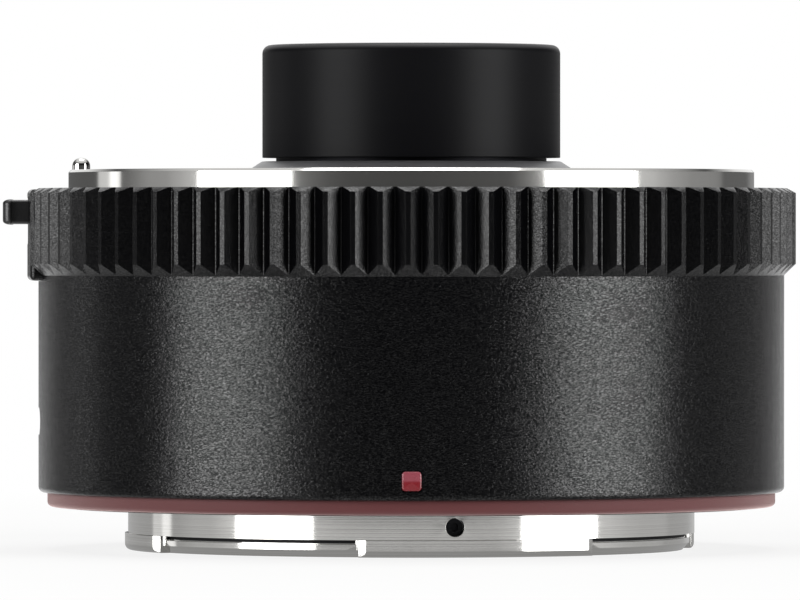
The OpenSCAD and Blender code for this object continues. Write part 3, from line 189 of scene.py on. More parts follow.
def hood_anodising():
    """Aluminium, finely blasted and then black anodised. The blasting leaves an even satin sheen, and
    under it the lathe's last pass shows as faint rings. The round top edge has a paler base colour: a
    painted highlight for the light from above."""
    material, tree, shader, mm = start("black_anodised_hood", **{
        "Specular IOR Level": 0.075, "Sheen Weight": 0.02, "Sheen Roughness": 0.3,
    })
    grit_mm, pitch_mm, depth_mm = 0.16, 0.3, 0.0015
    grit = add(tree, "ShaderNodeTexNoise", {"Vector": mm, "Scale": 1 / grit_mm, "Detail": 2.0}).outputs["Fac"]
    lathe = add(tree, "ShaderNodeTexNoise", {
        "Vector": around_axis(tree, mm), "Scale": 1 / pitch_mm, "Detail": 3.0,
    }).outputs["Fac"]
    bump = add(tree, "ShaderNodeBump", {"Height": grit, "Strength": 1.0, "Distance": depth_mm * MM})
    tint = add(tree, "ShaderNodeMix", {
        "Factor": grit, "A": srgb("#08080a"), "B": srgb("#0e0e10"),
    }, data_type="RGBA")
    rise = add(tree, "ShaderNodeSeparateXYZ", {0: mm}).outputs["Z"]
    top_edge = add(tree, "ShaderNodeMapRange", {
        "Value": rise, "From Min": HOOD_TOP_MM - 0.5, "From Max": HOOD_TOP_MM - 0.25,
    })
    # painted highlight: the top edge's base colour is a paler grey, standing in for the light from above
    painted_rim_highlight = add(tree, "ShaderNodeMix", {
        "Factor": top_edge.outputs[0], "A": tint.outputs["Result"], "B": srgb("#363637"),
    }, data_type="RGBA")
    dull = add(tree, "ShaderNodeMapRange", {
        "Value": lathe, "From Min": 0.3, "From Max": 0.7, "To Min": 0.4, "To Max": 0.43,
    })
    feed(tree, shader, {
        "Base Color": painted_rim_highlight.outputs["Result"], "Roughness": dull.outputs[0], "Normal": bump.outputs[0],
    })
    return material


def turned_metal(name, pitch_mm, depth_mm, dark, light, smooth, rough, side_marks=1.0, edge_mm=0.03):
    """Metal turned on a lathe and then plated. The tool leaves fine rings round the axis, which draw each
    highlight out across them; pitch is coarser than a real feed, so that the rings show in the picture.
    Side marks says how strong the rings are on the sides; a side that is polished has none. Edges are
    broken by edge_mm, so that each carries a fine line of light."""
    material, tree, shader, mm = start(name, Metallic=1.0)
    haze_mm = 6.0
    marks = add(tree, "ShaderNodeVectorMath", {
        0: around_axis(tree, mm), 1: (1, 1, side_marks),
    }, operation="MULTIPLY")
    lathe = add(tree, "ShaderNodeTexNoise", {
        "Vector": marks.outputs[0], "Scale": 1 / pitch_mm, "Detail": 3.0, "Roughness": 0.6,
    }).outputs["Fac"]
    haze = add(tree, "ShaderNodeTexNoise", {"Vector": mm, "Scale": 1 / haze_mm, "Detail": 2.0}).outputs["Fac"]
    edges = add(tree, "ShaderNodeBevel", {"Radius": edge_mm * MM}, samples=6)
    bump = add(tree, "ShaderNodeBump", {
        "Height": lathe, "Strength": 1.0, "Distance": depth_mm * MM, "Normal": edges.outputs[0],
    })
    height = add(tree, "ShaderNodeMapRange", {"Value": lathe, "From Min": 0.35, "From Max": 0.65})
    tint = add(tree, "ShaderNodeMix", {
        "Factor": height.outputs[0], "A": srgb(dark), "B": srgb(light),
    }, data_type="RGBA")
    worn = add(tree, "ShaderNodeMath", {0: lathe, 1: haze}, operation="MULTIPLY")
    dull = add(tree, "ShaderNodeMapRange", {
        "Value": worn.outputs[0], "From Min": 0.1, "From Max": 0.4, "To Min": smooth, "To Max": rough,
    })
    feed(tree, shader, {
        "Base Color": tint.outputs["Result"], "Roughness": dull.outputs[0], "Normal": bump.outputs[0],
    })
    return material


def paint_groove_and_rim_shade(material):
    """Paints shade into the bayonet's relief groove and onto the flange's rim inside the red ring: both get a
    dark grey base colour, which is painted shade, and a dull roughness. The groove's painted shadow draws
    a line between neck and claw."""
    tree = material.node_tree
    shader = next(node for node in tree.nodes if node.type == "BSDF_PRINCIPLED")
    parts = add(tree, "ShaderNodeSeparateXYZ", {0: around_axis(tree, in_mm(tree))})
    masks = []
    for spans in (GROOVE_MM, RIM_MM):
        inside = [
            add(tree, "ShaderNodeMath", {
                0: parts.outputs[axis], 1: (low + high) / 2, 2: (high - low) / 2,
            }, operation="COMPARE").outputs[0]
            for axis, (low, high) in zip("XZ", spans)
        ]
        mask = add(tree, "ShaderNodeMath", {0: inside[0], 1: inside[1]}, operation="MULTIPLY")
        masks.append(mask.outputs[0])
    painted_shade_mask = add(tree, "ShaderNodeMath", {0: masks[0], 1: masks[1]}, operation="MAXIMUM").outputs[0]
    # painted shade: the groove and the rim get a dark grey base colour and a dull roughness
    for name, kind, value in (("Base Color", "RGBA", srgb("#2a2a2b")), ("Roughness", "FLOAT", 0.6)):
        plated = shader.inputs[name].links[0].from_socket
        mixed = add(tree, "ShaderNodeMix", {"Factor": painted_shade_mask, "A": plated, "B": value}, data_type=kind)
        feed(tree, shader, {name: mixed.outputs["Result"]})


def red_anodising():
    """Aluminium ring, blasted and anodised dull red. It mirrors the surroundings only as a soft sheen."""
    material, tree, shader, mm = start("red_anodised_ring", **{
        "Specular IOR Level": 0.2, "Sheen Weight": 1.0, "Sheen Roughness": 0.54,
        "Sheen Tint": srgb("#f4d6d4"),
    })
    grit_mm, depth_mm = 0.2, 0.006
    grit = add(tree, "ShaderNodeTexNoise", {"Vector": mm, "Scale": 1 / grit_mm, "Detail": 2.0}).outputs["Fac"]
    bump = add(tree, "ShaderNodeBump", {"Height": grit, "Strength": 1.0, "Distance": depth_mm * MM})
    tint = add(tree, "ShaderNodeMix", {
        "Factor": grit, "A": srgb("#481417"), "B": srgb("#521b1e"),
    }, data_type="RGBA")
    dull = add(tree, "ShaderNodeMapRange", {
        "Value": grit, "From Min": 0.3, "From Max": 0.7, "To Min": 0.5, "To Max": 0.62,
    })
    feed(tree, shader, {
        "Base Color": tint.outputs["Result"], "Roughness": dull.outputs[0], "Normal": bump.outputs[0],
    })
    return material


def red_enamel():
    """A bead of red enamel, poured and polished: clear gloss over a colour with faint clouds in it. Its
    upper half is painted paler and its lower half darker: painted light and painted shade from above."""
    material, tree, shader, mm = start("red_enamel_bead", **{
        "Specular IOR Level": 0.2, "Coat Weight": 0.5, "Coat Roughness": 0.06,
    })
    cloud_mm = 0.7
    clouds = add(tree, "ShaderNodeTexNoise", {
        "Vector": mm, "Scale": 1 / cloud_mm, "Detail": 3.0,
    }).outputs["Fac"]
    rise = add(tree, "ShaderNodeSeparateXYZ", {0: mm}).outputs["Z"]
    upper = add(tree, "ShaderNodeMapRange", {
        "Value": rise, "From Min": BEAD_Z_MM - 0.12, "From Max": BEAD_Z_MM + 0.1,
    })
    drift = add(tree, "ShaderNodeMapRange", {"Value": clouds, "To Min": -0.15, "To Max": 0.15})
    # painted light and shade: the upper half gets the paler red, the lower half the darker red
    painted_top_light = add(tree, "ShaderNodeMath", {
        0: upper.outputs[0], 1: drift.outputs[0],
    }, operation="ADD", use_clamp=True)
    tint = add(tree, "ShaderNodeMix", {
        "Factor": painted_top_light.outputs[0], "A": srgb("#72161f"), "B": srgb("#86404a"),
    }, data_type="RGBA")
    dull = add(tree, "ShaderNodeMapRange", {"Value": clouds, "To Min": 0.25, "To Max": 0.35})
    feed(tree, shader, {"Base Color": tint.outputs["Result"], "Roughness": dull.outputs[0]})
    return material


def moulded_plastic(name, dark, light, grain_mm, gloss):
    """Plastic moulded in a spark-eroded tool, which gives its surface a fine even grain."""
    material, tree, shader, mm = start(name)
    depth_mm = 0.012
    grain = add(tree, "ShaderNodeTexNoise", {
        "Vector": mm, "Scale": 1 / grain_mm, "Detail": 2.0,
    }).outputs["Fac"]
    bump = add(tree, "ShaderNodeBump", {"Height": grain, "Strength": 1.0, "Distance": depth_mm * MM})
    tint = add(tree, "ShaderNodeMix", {
        "Factor": grain, "A": srgb(dark), "B": srgb(light),
    }, data_type="RGBA")
    dull = add(tree, "ShaderNodeMapRange", {
        "Value": grain, "From Min": 0.3, "From Max": 0.7, "To Min": gloss - 0.05, "To Max": gloss + 0.05,
    })
    feed(tree, shader, {
        "Base Color": tint.outputs["Result"], "Roughness": dull.outputs[0], "Normal": bump.outputs[0],
    })
    return material


def cast_alloy():
    """Magnesium alloy, cast under pressure and tumbled: grey, with a fine grain and soft clouds."""
    material, tree, shader, mm = start("cast_alloy", Metallic=1.0)
    cloud_mm, grain_mm, depth_mm = 5.0, 0.3, 0.02
    clouds = add(tree, "ShaderNodeTexNoise", {
        "Vector": mm, "Scale": 1 / cloud_mm, "Detail": 4.0,
    }).outputs["Fac"]
    grain = add(tree, "ShaderNodeTexNoise", {
        "Vector": mm, "Scale": 1 / grain_mm, "Detail": 2.0,
    }).outputs["Fac"]
    bump = add(tree, "ShaderNodeBump", {"Height": grain, "Strength": 1.0, "Distance": depth_mm * MM})
    tint = add(tree, "ShaderNodeMix", {
        "Factor": clouds, "A": srgb("#7c7d80"), "B": srgb("#94959a"),
    }, data_type="RGBA")
    dull = add(tree, "ShaderNodeMapRange", {"Value": clouds, "To Min": 0.45, "To Max": 0.6})
    feed(tree, shader, {
        "Base Color": tint.outputs["Result"], "Roughness": dull.outputs[0], "Normal": bump.outputs[0],
    })
    return material


def plated_gold():
    """Hard gold plated on the contacts: bright, with fine wipe marks."""
    material, tree, shader, mm = start("hard_gold_plate", Metallic=1.0)
    wipe_mm = 0.25
    wipes = add(tree, "ShaderNodeTexNoise", {
        "Vector": mm, "Scale": 1 / wipe_mm, "Detail": 3.0,
    }).outputs["Fac"]
    tint = add(tree, "ShaderNodeMix", {
        "Factor": wipes, "A": srgb("#d9ad55"), "B": srgb("#efcf86"),
    }, data_type="RGBA")
    dull = add(tree, "ShaderNodeMapRange", {"Value": wipes, "To Min": 0.18, "To Max": 0.32})
    feed(tree, shader, {"Base Color": tint.outputs["Result"], "Roughness": dull.outputs[0]})
    return material


def coated_glass():
    """Polished optical glass with a vapour-deposited coating, which leaves a faint coloured reflection.
    A trace of haze keeps it from looking like a hole."""
    material, tree, shader, mm = start("coated_optical_glass", **{
        "Transmission Weight": 1.0, "IOR": 1.6, "Thin Film Thickness": 360.0, "Thin Film IOR": 1.38,
    })
    haze_mm = 4.0
    haze = add(tree, "ShaderNodeTexNoise", {"Vector": mm, "Scale": 1 / haze_mm, "Detail": 3.0}).outputs["Fac"]
    tint = add(tree, "ShaderNodeMix", {
        "Factor": haze, "A": srgb("#f2f6f4"), "B": srgb("#fbfdfc"),
    }, data_type="RGBA")
    dull = add(tree, "ShaderNodeMapRange", {
        "Value": haze, "From Min": 0.3, "From Max": 0.7, "To Min": 0.0, "To Max": 0.012,
    })
    feed(tree, shader, {"Base Color": tint.outputs["Result"], "Roughness": dull.outputs[0]})
    return material


def solder_mask():
    """Glass-fibre board under green solder mask, with the copper tracks showing as paler lines."""
    material, tree, shader, mm = start("green_solder_mask")
    track_gap_mm = 1.6
    tracks = add(tree, "ShaderNodeTexVoronoi", {
        "Vector": mm, "Scale": 1 / track_gap_mm, "Randomness": 0.35,
    }, feature="DISTANCE_TO_EDGE", distance="EUCLIDEAN").outputs["Distance"]
    copper = add(tree, "ShaderNodeMapRange", {
        "Value": tracks, "From Min": 0.02, "From Max": 0.08, "To Min": 1.0, "To Max": 0.0,
    })
    tint = add(tree, "ShaderNodeMix", {
        "Factor": copper.outputs[0], "A": srgb("#12462a"), "B": srgb("#1f6b3f"),
    }, data_type="RGBA")
    dull = add(tree, "ShaderNodeMapRange", {"Value": tracks, "To Min": 0.3, "To Max": 0.42})
    feed(tree, shader, {"Base Color": tint.outputs["Result"], "Roughness": dull.outputs[0]})
    return material


def polyimide_film():
    """Amber polyimide film with copper tracks inside, which show as darker stripes along it."""
    material, tree, shader, mm = start("amber_polyimide_film")
    wave_mm = 6.0
    stripes = add(tree, "ShaderNodeTexWave", {
        "Vector": mm, "Scale": 1 / wave_mm, "Distortion": 0.0,
    }, bands_direction="X").outputs["Fac"]
    tint = add(tree, "ShaderNodeMix", {
        "Factor": stripes, "A": srgb("#8a4f1c"), "B": srgb("#b97b35"),
    }, data_type="RGBA")
    dull = add(tree, "ShaderNodeMapRange", {"Value": stripes, "To Min": 0.3, "To Max": 0.4})
    feed(tree, shader, {"Base Color": tint.outputs["Result"], "Roughness": dull.outputs[0]})
    return material


def dress(material, *names):
    """Gives CAD nodes that keep their shape a finish."""
    for name in names:
        slots = NODES[name].data.materials
        slots.clear()
        slots.append(material)


def soften(width_mm, *names):
    """Breaks the sharp edges of CAD nodes, as a deburred or moulded edge is, so that they catch light."""
    weld_mm, flat_deg, sharp_deg = 0.002, 0.5, 28
    for name in names:
        node = NODES[name]
        weld = node.modifiers.new("weld", "WELD")
        weld.merge_threshold = weld_mm * MM
        flat = node.modifiers.new("flat_faces", "DECIMATE")
        flat.decimate_type = "DISSOLVE"
        flat.angle_limit = math.radians(flat_deg)
        bevel = node.modifiers.new("broken_edges", "BEVEL")
        bevel.width = width_mm * MM
        bevel.segments = 2
        bevel.limit_method = "ANGLE"
        bevel.angle_limit = math.radians(sharp_deg)
        even_shading(node)


def even_shading(piece):
    """Keeps flat faces flat in the light, so that only rounded edges turn it."""
    even = piece.modifiers.new("even_shading", "WEIGHTED_NORMAL")
    even.mode = "FACE_AREA"
    even.weight = 100


# Pieces with rounder edges than their solids

def loop(half_w, half_h, corner, inset, along):
    """Points round a rectangle with round corners, drawn in by the inset; a side has that many steps."""
    wide, high, bend = half_w - inset, half_h - inset, max(corner - inset, 0.02)
    arcs = []
    for quarter, (x_sign, y_sign) in enumerate(((1, 1), (-1, 1), (-1, -1), (1, -1))):
        turns = [math.pi / 2 * (quarter + step / CORNER_STEPS) for step in range(CORNER_STEPS + 1)]
        middle = Vector((x_sign * (wide - bend), y_sign * (high - bend)))
        arcs.append([middle + bend * Vector((math.cos(turn), math.sin(turn))) for turn in turns])
    points = []
    for arc, after in zip(arcs, arcs[1:] + arcs[:1]):
        points += arc + [arc[-1].lerp(after[0], step / along) for step in range(1, along)]
    return points


def stations(depth, begin_round, end_round, end_length=None):
    """Depths along a bar from begin to end, each with the inset that rounds the edges of its two ends. The
    rounding of the far end may reach further along the bar than it draws in."""
    begin, end = depth
    end_length = end_length or end_round
    way = 1 if end > begin else -1
    turns = [math.pi / 2 * step / CORNER_STEPS for step in range(CORNER_STEPS + 1)]
    first = [(begin + way * begin_round * (1 - math.sin(t)), begin_round * (1 - math.cos(t))) for t in turns]
    last = [(end - way * end_length * (1 - math.sin(t)), end_round * (1 - math.cos(t))) for t in turns]
    return first[::-1] + last


def rings(half_w, half_h, corner, depths, place, along=1):
    """Loops at the depths, put in place in the frame's millimetres."""
    return [
        [place(point.x, point.y, depth) for point in loop(half_w, half_h, corner, inset, along)]
        for depth, inset in depths
    ]


def skin(mesh, loops, joined=False):
    """Faces over loops of points; the two ends are closed with a face each, or joined to each other."""
    rows = [[mesh.verts.new(point * MM) for point in points] for points in loops]
    pairs = list(zip(rows, rows[1:]))
    if joined:
        pairs.append((rows[-1], rows[0]))
    else:
        mesh.faces.new(rows[0])
        mesh.faces.new(rows[-1])
    for low, high in pairs:
        for i in range(len(low)):
            mesh.faces.new((low[i - 1], low[i], high[i], high[i - 1]))


def stand_in(name, mesh, node, body, material):
    """Puts a mesh into the scene for a CAD node, on that node's body."""
    bmesh.ops.remove_doubles(mesh, verts=mesh.verts, dist=0.0005 * MM)
    bmesh.ops.recalc_face_normals(mesh, faces=mesh.faces)
    data = bpy.data.meshes.new(name)
    mesh.to_mesh(data)
    mesh.free()
    data.shade_smooth()
    data.materials.append(material)
    piece = bpy.data.objects.new(name, data)
    bpy.context.scene.collection.objects.link(piece)
    even_shading(piece)
    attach(piece, body)
    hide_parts(node)


def rounded_knob(material):
    """The push knob: a tip with a well rounded outer edge on a stem that goes through the frame's slot. The
    tip's short ends are drawn in twice as far as its upper and lower edges."""
    def place(across, up, depth):
        return Vector((depth, across, KNOB_Z_MM + up))
    half_w, half_h = KNOB_TIP_HALF_MM
    mesh = bmesh.new()
    skin(mesh, rings(*KNOB_STEM_HALF_MM, 0.3, stations(KNOB_STEM_X_MM, 0.05, 0.05), place))
    skin(mesh, [
        [place(point.x, point.y, depth) for point in loop(half_w - inset, half_h, 0.5, inset, 1)]
        for depth, inset in stations(KNOB_TIP_X_MM, 0.02, 0.38, 0.72)
    ])
    stand_in("knob_rounded", mesh, "release_knob", "release", material)


def rounded_frame(material):
    """The slotted frame that the knob slides in, bent to the grip ring, with a round outer edge."""
    middle, half_h = (FRAME_LOW_MM + FRAME_TOP_MM) / 2, (FRAME_TOP_MM - FRAME_LOW_MM) / 2
    slot_middle, slot_half_h = (SLOT_LOW_MM + SLOT_TOP_MM) / 2, (SLOT_TOP_MM - SLOT_LOW_MM) / 2
    inner_r, outer_r = FRAME_R_MM

    def place(across, up, reach):
        return Vector((-math.sqrt(reach ** 2 - across ** 2), across, middle + up))

    def place_slot(across, up, reach):
        return place(across, up + slot_middle - middle, reach)
    outside = rings(FRAME_HALF_W_MM, half_h, 0.5, stations(FRAME_R_MM, 0.05, 0.48), place, 10)
    hole = [(outer_r, -SLOT_CHAMFER_MM), (outer_r - SLOT_CHAMFER_MM, 0.0), (inner_r, 0.0)]
    inside = rings(SLOT_HALF_W_MM, slot_half_h, 0.4, hole, place_slot, 10)
    mesh = bmesh.new()
    skin(mesh, outside + inside, joined=True)
    stand_in("slotted_frame_rounded", mesh, "release_frame", "housing", material)


def enamel_bead(material):
    """The index bead: a rounded square of enamel that rises from the barrel with a soft shoulder."""
    def place(across, up, depth):
        return Vector((across, depth, BEAD_Z_MM + up))
    root, top = BEAD_Y_MM
    depths = [(root, 0.0)] + [(top + below, inset) for below, inset in BEAD_SHOULDER_MM]
    mesh = bmesh.new()
    skin(mesh, rings(BEAD_HALF_MM, BEAD_HALF_MM, 0.34, depths, place))
    stand_in("index_bead", mesh, "index_mark", "housing", material)


def domed_pin(material):
    """The lock pin, ground to a full dome so that the lens rides over it."""
    def place(across, along, depth):
        return Vector((PIN_X_MM + across, along, depth))
    mesh = bmesh.new()
    skin(mesh, rings(PIN_R_MM, PIN_R_MM, PIN_R_MM, stations(PIN_Z_MM, 0.1, 0.74), place))
    stand_in("lock_pin_domed", mesh, "lock_pin", "release", material)


barrel_coat = wrinkle_lacquer(
    "black_wrinkle_lacquer", fold_mm=0.23, depth_mm=0.032, crease=0.08, crest=0.6, rough=0.12,
)
grip_coat = wrinkle_lacquer(
    "fine_black_lacquer", fold_mm=0.18, depth_mm=0.018, crease=0.11, crest=0.43, rough=0.18,
)
hood_coat = hood_anodising()
red_ring = red_anodising()
red_bead = red_enamel()
# Each turned metal has its name, pitch and depth of its rings, two tones, and least and most roughness
collar_coat = turned_metal("satin_black_collar", 0.3, 0.002, "#747476", "#7e7e80", 0.3, 0.4)
plate_chrome = turned_metal(
    "polished_chrome_plate", 0.25, 0.012, "#c4c3c0", "#d2d1ce", 0.05, 0.1, side_marks=0.0,
)
bayonet_chrome = turned_metal(
    "turned_chrome_bayonet", 0.12, 0.003, "#c4c3c0", "#d6d5d2", 0.05, 0.1, edge_mm=0.06,
)
# painted shade in the bayonet's relief groove and on its flange's rim
paint_groove_and_rim_shade(bayonet_chrome)
pin_chrome = turned_metal("polished_pin_steel", 0.25, 0.001, "#c9c8c5", "#d6d5d2", 0.04, 0.08)
screw_steel = turned_metal("bright_screw_steel", 0.2, 0.002, "#a3a29f", "#b9b8b5", 0.2, 0.34)
black_steel = turned_metal("blackened_steel", 0.2, 0.002, "#1b1b1d", "#29292b", 0.3, 0.42)
lens_anodising = turned_metal("black_anodised_lens_barrel", 0.4, 0.02, "#131314", "#1c1c1e", 0.4, 0.55)
chassis_alloy = cast_alloy()
# Each plastic has its name, two tones, the size of its grain and its roughness
baffle_black = moulded_plastic("matt_black_baffle", "#0f0f10", "#171718", 0.18, 0.6)
contact_plastic = moulded_plastic("black_contact_plastic", "#121213", "#1b1b1d", 0.12, 0.5)
knob_plastic = moulded_plastic("black_knob_plastic", "#060607", "#0b0b0c", 0.2, 0.34)
chip_resin = moulded_plastic("black_chip_resin", "#161617", "#222224", 0.1, 0.55)
gold = plated_gold()
glass = coated_glass()
board_green = solder_mask()
film = polyimide_film()

dress(barrel_coat, "outer_barrel")
dress(grip_coat, "grip_ring")
dress(red_ring, "accent_ring")
dress(bayonet_chrome, "rear_mount")
dress(plate_chrome, "front_mount")
dress(screw_steel, "rear_mount_screws", "front_mount_screws", "bayonet_springs", "rear_contact_screws")
dress(screw_steel, "front_contact_screws", "board_screws", "barrel_screws", "release_screws", "lock_spring")
dress(screw_steel, "release_carriage", "usb_socket")
dress(black_steel, "stop_screw")
dress(chassis_alloy, "chassis", "rear_plate")
dress(hood_coat, "front_hood")
dress(collar_coat, "hood_collar")
dress(baffle_black, "front_baffle", "rear_baffle")
dress(contact_plastic, "rear_contact_block", "front_contact_block", "usb_tongue")
dress(gold, "rear_contact_pads", *[f"contact_pin_{i}" for i in range(1, 12)])
dress(glass, *[f"lens_{i}" for i in range(1, 9)])
dress(lens_anodising, "lens_barrel", "front_retaining_ring", "rear_retaining_ring")
dress(lens_anodising, "spacer_1", "spacer_2", "spacer_3")
dress(board_green, "main_board")
dress(chip_resin, "board_chips")
dress(film, "flex_cable")

soften(0.06, "outer_barrel", "grip_ring", "front_hood", "hood_collar", "accent_ring")
soften(0.04, "rear_contact_block", "front_contact_block", "usb_socket")

rounded_knob(knob_plastic)
rounded_frame(grip_coat)
enamel_bead(red_bead)
domed_pin(pin_chrome)


# Studio

# How bright the studio's walls are, by the turn in degrees from the camera's side towards +X: at eye level,
# which polished metal mirrors, and above and below it, which mostly reaches the lacquer
EYE_LEVEL_WALL = (
    (-180, 0.12), (-131, 0.12), (-129.6, 0.85), (-122.5, 0.85), (-121.5, 1.7), (-115.5, 1.7), (-114.5, 0.17),
    (-110, 0.2), (-99, 0.39), (-89.5, 0.42), (-80, 0.65), (-75, 0.7), (-43, 0.35), (-34, 0.19), (-27, 0.125),
    (-20, 0.098), (0, 0.085), (33, 0.115), (40, 0.27), (43, 0.4), (75, 0.75), (88, 0.69), (98, 0.48),
    (108, 0.36), (121, 0.33), (126, 0.3), (130, 0.16), (153, 0.15), (162, 0.28), (180, 0.3),
)
UPPER_WALL = (
    (-180, 1.0), (-160, 1.0), (-148, 0.06), (-134, 0.06), (-120, 0.1), (-75, 0.1), (-43, 0.02),
    (43, 0.02), (75, 0.1), (120, 0.1), (134, 0.06), (148, 0.06), (160, 1.0), (180, 1.0),
)
# The sines of the heights between which the upper wall takes over, and then the ceiling
UPPER_WALL_FROM = (0.035, 0.08)
CEILING_FROM = (0.5, 0.8)
CEILING = (0.95, 0.95, 0.95, 1.0)
# The even light that reaches matt surfaces from all sides
FILL = (0.2, 0.2, 0.2, 1.0)
WHITE = srgb("#ffffff")
FLOOR_HALF = 3.0
LAMP_AIM_MM = 20


def studio_world():
    """White to the camera and through glass. What metal and lacquer mirror is a studio: a white backdrop
    behind the object, a dark flag at each side of it and a grey room behind the camera."""
    world = bpy.data.worlds.new("studio")
    bpy.context.scene.world = world
    world.use_nodes = True
    world.cycles.sampling_method = "NONE"
    tree = world.node_tree
    tree.nodes.clear()
    path = add(tree, "ShaderNodeLightPath")
    way = add(tree, "ShaderNodeTexCoord").outputs["Generated"]
    parts = add(tree, "ShaderNodeSeparateXYZ", {0: way})
    ahead = add(tree, "ShaderNodeMath", {0: parts.outputs["Y"], 1: -1.0}, operation="MULTIPLY")
    turn = add(tree, "ShaderNodeMath", {0: parts.outputs["X"], 1: ahead.outputs[0]}, operation="ARCTAN2")
    share = add(tree, "ShaderNodeMapRange", {
        "Value": turn.outputs[0], "From Min": -math.pi, "From Max": math.pi,
    })
    walls = []
    for levels in (EYE_LEVEL_WALL, UPPER_WALL):
        wall = add(tree, "ShaderNodeValToRGB", {"Fac": share.outputs[0]})
        marks = wall.color_ramp.elements
        while len(marks) < len(levels):
            marks.new(1.0)
        for mark, (turn_deg, level) in zip(marks, levels):
            mark.position = (turn_deg + 180) / 360
            mark.color = (level, level, level, 1.0)
        walls.append(wall.outputs["Color"])
    height = add(tree, "ShaderNodeMath", {0: parts.outputs["Z"]}, operation="ABSOLUTE")
    upper = add(tree, "ShaderNodeMapRange", {
        "Value": height.outputs[0], "From Min": UPPER_WALL_FROM[0], "From Max": UPPER_WALL_FROM[1],
    })
    room = add(tree, "ShaderNodeMix", {
        "Factor": upper.outputs[0], "A": walls[0], "B": walls[1],
    }, data_type="RGBA")
    overhead = add(tree, "ShaderNodeMapRange", {
        "Value": parts.outputs["Z"], "From Min": CEILING_FROM[0], "From Max": CEILING_FROM[1],
    })
    studio = add(tree, "ShaderNodeMix", {
        "Factor": overhead.outputs[0], "A": room.outputs["Result"], "B": CEILING,
    }, data_type="RGBA")
    light = add(tree, "ShaderNodeMix", {
        "Factor": path.outputs["Is Glossy Ray"], "A": FILL, "B": studio.outputs["Result"],
    }, data_type="RGBA")
    seen = add(tree, "ShaderNodeMath", {
        0: path.outputs["Is Camera Ray"], 1: path.outputs["Is Transmission Ray"],
    }, operation="MAXIMUM")
    colour = add(tree, "ShaderNodeMix", {
        "Factor": seen.outputs[0], "A": light.outputs["Result"], "B": WHITE,
    }, data_type="RGBA")
    sky = add(tree, "ShaderNodeBackground", {"Color": colour.outputs["Result"], "Strength": 1.0})
    add(tree, "ShaderNodeOutputWorld", {"Surface": sky.outputs[0]})


def softbox(name, turn_deg, rise_deg, away, wide, high, level):
    """A softbox turned to the object. Turn is measured from the camera's side towards +X, and level is
    the brightness of its face."""
    lamp = bpy.data.lights.new(name, "AREA")
    lamp.shape = "RECTANGLE"
    lamp.size, lamp.size_y = wide, high
    lamp.energy = level * math.pi * wide * high
    holder = bpy.data.objects.new(name, lamp)
    bpy.context.scene.collection.objects.link(holder)
    turn, rise = math.radians(turn_deg), math.radians(rise_deg)
    way = Vector((math.sin(turn) * math.cos(rise), -math.cos(turn) * math.cos(rise), math.sin(rise)))
    holder.location = Vector((0, 0, LAMP_AIM_MM * MM)) + way * away
    holder.rotation_euler = (-way).to_track_quat("-Z", "Y").to_euler()
    holder.visible_camera = False


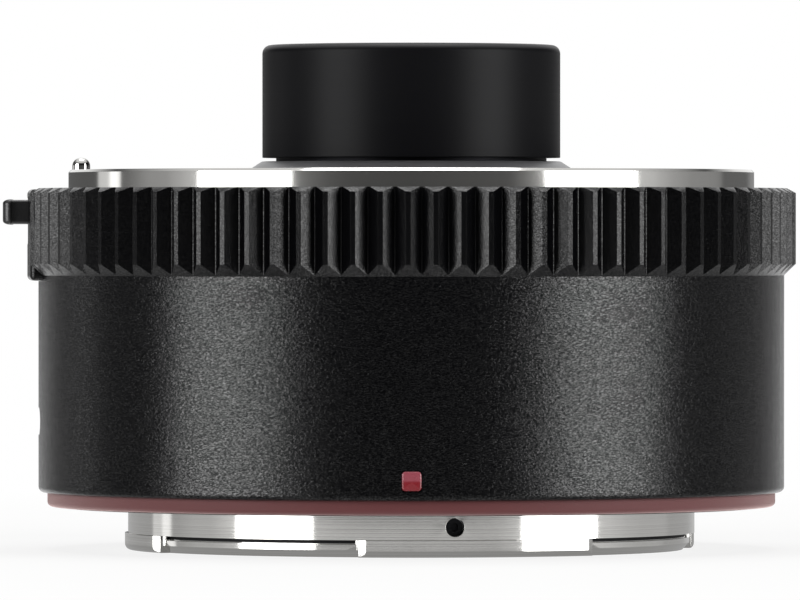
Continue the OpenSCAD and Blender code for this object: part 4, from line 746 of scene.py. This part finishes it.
def pale_floor():
    """A pale floor under the bayonet. To the camera it fades to the backdrop's white, but keeps a shadow.
    To glossy rays it glows, which is painted light, and mirrors a little: the glow is brightest from 60 to
    170 mm in front of the object, dimmer close to it as a painted shadow, and dark further away, where the
    room behind the camera begins."""
    sides = ((-1, -1), (1, -1), (1, 1), (-1, 1))
    corners = [(x * FLOOR_HALF, y * FLOOR_HALF, CAD_LOW.z) for x, y in sides]
    mesh = bpy.data.meshes.new("floor")
    mesh.from_pydata(corners, [], [(0, 1, 2, 3)])
    floor = bpy.data.objects.new("floor", mesh)
    bpy.context.scene.collection.objects.link(floor)
    material, tree, shader, mm = start("pale_floor", Roughness=0.9)
    speck_mm = 30.0
    speck = add(tree, "ShaderNodeTexNoise", {"Vector": mm, "Scale": 1 / speck_mm}).outputs["Fac"]
    tint = add(tree, "ShaderNodeMix", {
        "Factor": speck, "A": srgb("#e6e6e4"), "B": srgb("#ebebea"),
    }, data_type="RGBA")
    feed(tree, shader, {"Base Color": tint.outputs["Result"]})
    path = add(tree, "ShaderNodeLightPath")
    reach = add(tree, "ShaderNodeVectorMath", {0: mm}, operation="LENGTH").outputs["Value"]
    fade = add(tree, "ShaderNodeMapRange", {
        "Value": reach, "From Min": 60, "From Max": 220, "To Min": 0.82, "To Max": 1.0,
    })
    white = add(tree, "ShaderNodeMath", {
        0: fade.outputs[0], 1: path.outputs["Is Camera Ray"],
    }, operation="MULTIPLY")
    backdrop = add(tree, "ShaderNodeEmission", {"Color": WHITE, "Strength": 1.0})
    seen = add(tree, "ShaderNodeMixShader", {
        0: white.outputs[0], 1: shader.outputs[0], 2: backdrop.outputs[0],
    })
    # painted light and painted shadow: to glossy rays the floor glows, dimmer close in front of the object
    # and dark far in front of it
    ahead = add(tree, "ShaderNodeSeparateXYZ", {0: mm}).outputs["Y"]
    near = add(tree, "ShaderNodeMapRange", {
        "Value": ahead, "From Min": -60, "From Max": -35, "To Min": 0.64, "To Max": 0.38,
    })
    far = add(tree, "ShaderNodeMapRange", {
        "Value": ahead, "From Min": -260, "From Max": -170, "To Min": 0.03, "To Max": 0.64,
    })
    level = add(tree, "ShaderNodeMath", {0: near.outputs[0], 1: far.outputs[0]}, operation="MINIMUM")
    bright = add(tree, "ShaderNodeEmission", {"Color": WHITE, "Strength": level.outputs[0]})
    gloss = add(tree, "ShaderNodeMapRange", {"Value": reach, "From Min": 29, "From Max": 40, "To Max": 0.6})
    polish = add(tree, "ShaderNodeBsdfGlossy", {"Color": gloss.outputs[0], "Roughness": 0.03})
    painted_floor_glow = add(tree, "ShaderNodeAddShader", {0: bright.outputs[0], 1: polish.outputs[0]})
    mirrored = add(tree, "ShaderNodeMixShader", {
        0: path.outputs["Is Glossy Ray"], 1: seen.outputs[0], 2: painted_floor_glow.outputs[0],
    })
    output = next(node for node in tree.nodes if node.type == "OUTPUT_MATERIAL")
    feed(tree, output, {"Surface": mirrored.outputs[0]})
    mesh.materials.append(material)


def photo_camera():
    """The camera of the photograph, from its eye level, its distance and the size of a pixel."""
    data = bpy.data.cameras.new("photo_camera")
    data.sensor_width = SENSOR_MM
    data.lens = SENSOR_MM * CAMERA_AWAY_MM / (PIXEL_MM * PHOTO_W_PX)
    data.clip_start, data.clip_end = 0.05, 50
    camera = bpy.data.objects.new("photo_camera", data)
    bpy.context.scene.collection.objects.link(camera)
    side = (PHOTO_W_PX / 2 - AXIS_X_PX) * PIXEL_MM
    eye = (FLANGE_Y_PX - EYE_Y_PX) * PIXEL_MM
    drop = (PHOTO_H_PX / 2 - EYE_Y_PX) * PIXEL_MM
    camera.location = Vector((side, -CAMERA_AWAY_MM, eye)) * MM
    camera.rotation_euler = (math.pi / 2 - math.atan2(drop, CAMERA_AWAY_MM), 0, 0)
    bpy.context.scene.camera = camera


bpy.context.scene.view_settings.view_transform = "Standard"
studio_world()
# Each softbox has its turn and rise in degrees, its distance, width and height in metres, and its level
softbox("left_softbox", -57, 12, 0.7, 0.44, 0.34, 8.2)
softbox("right_softbox", 62, 12, 0.7, 0.44, 0.34, 9.0)
softbox("top_softbox", 180, 80, 0.8, 0.5, 0.5, 5.0)
pale_floor()
photo_camera()
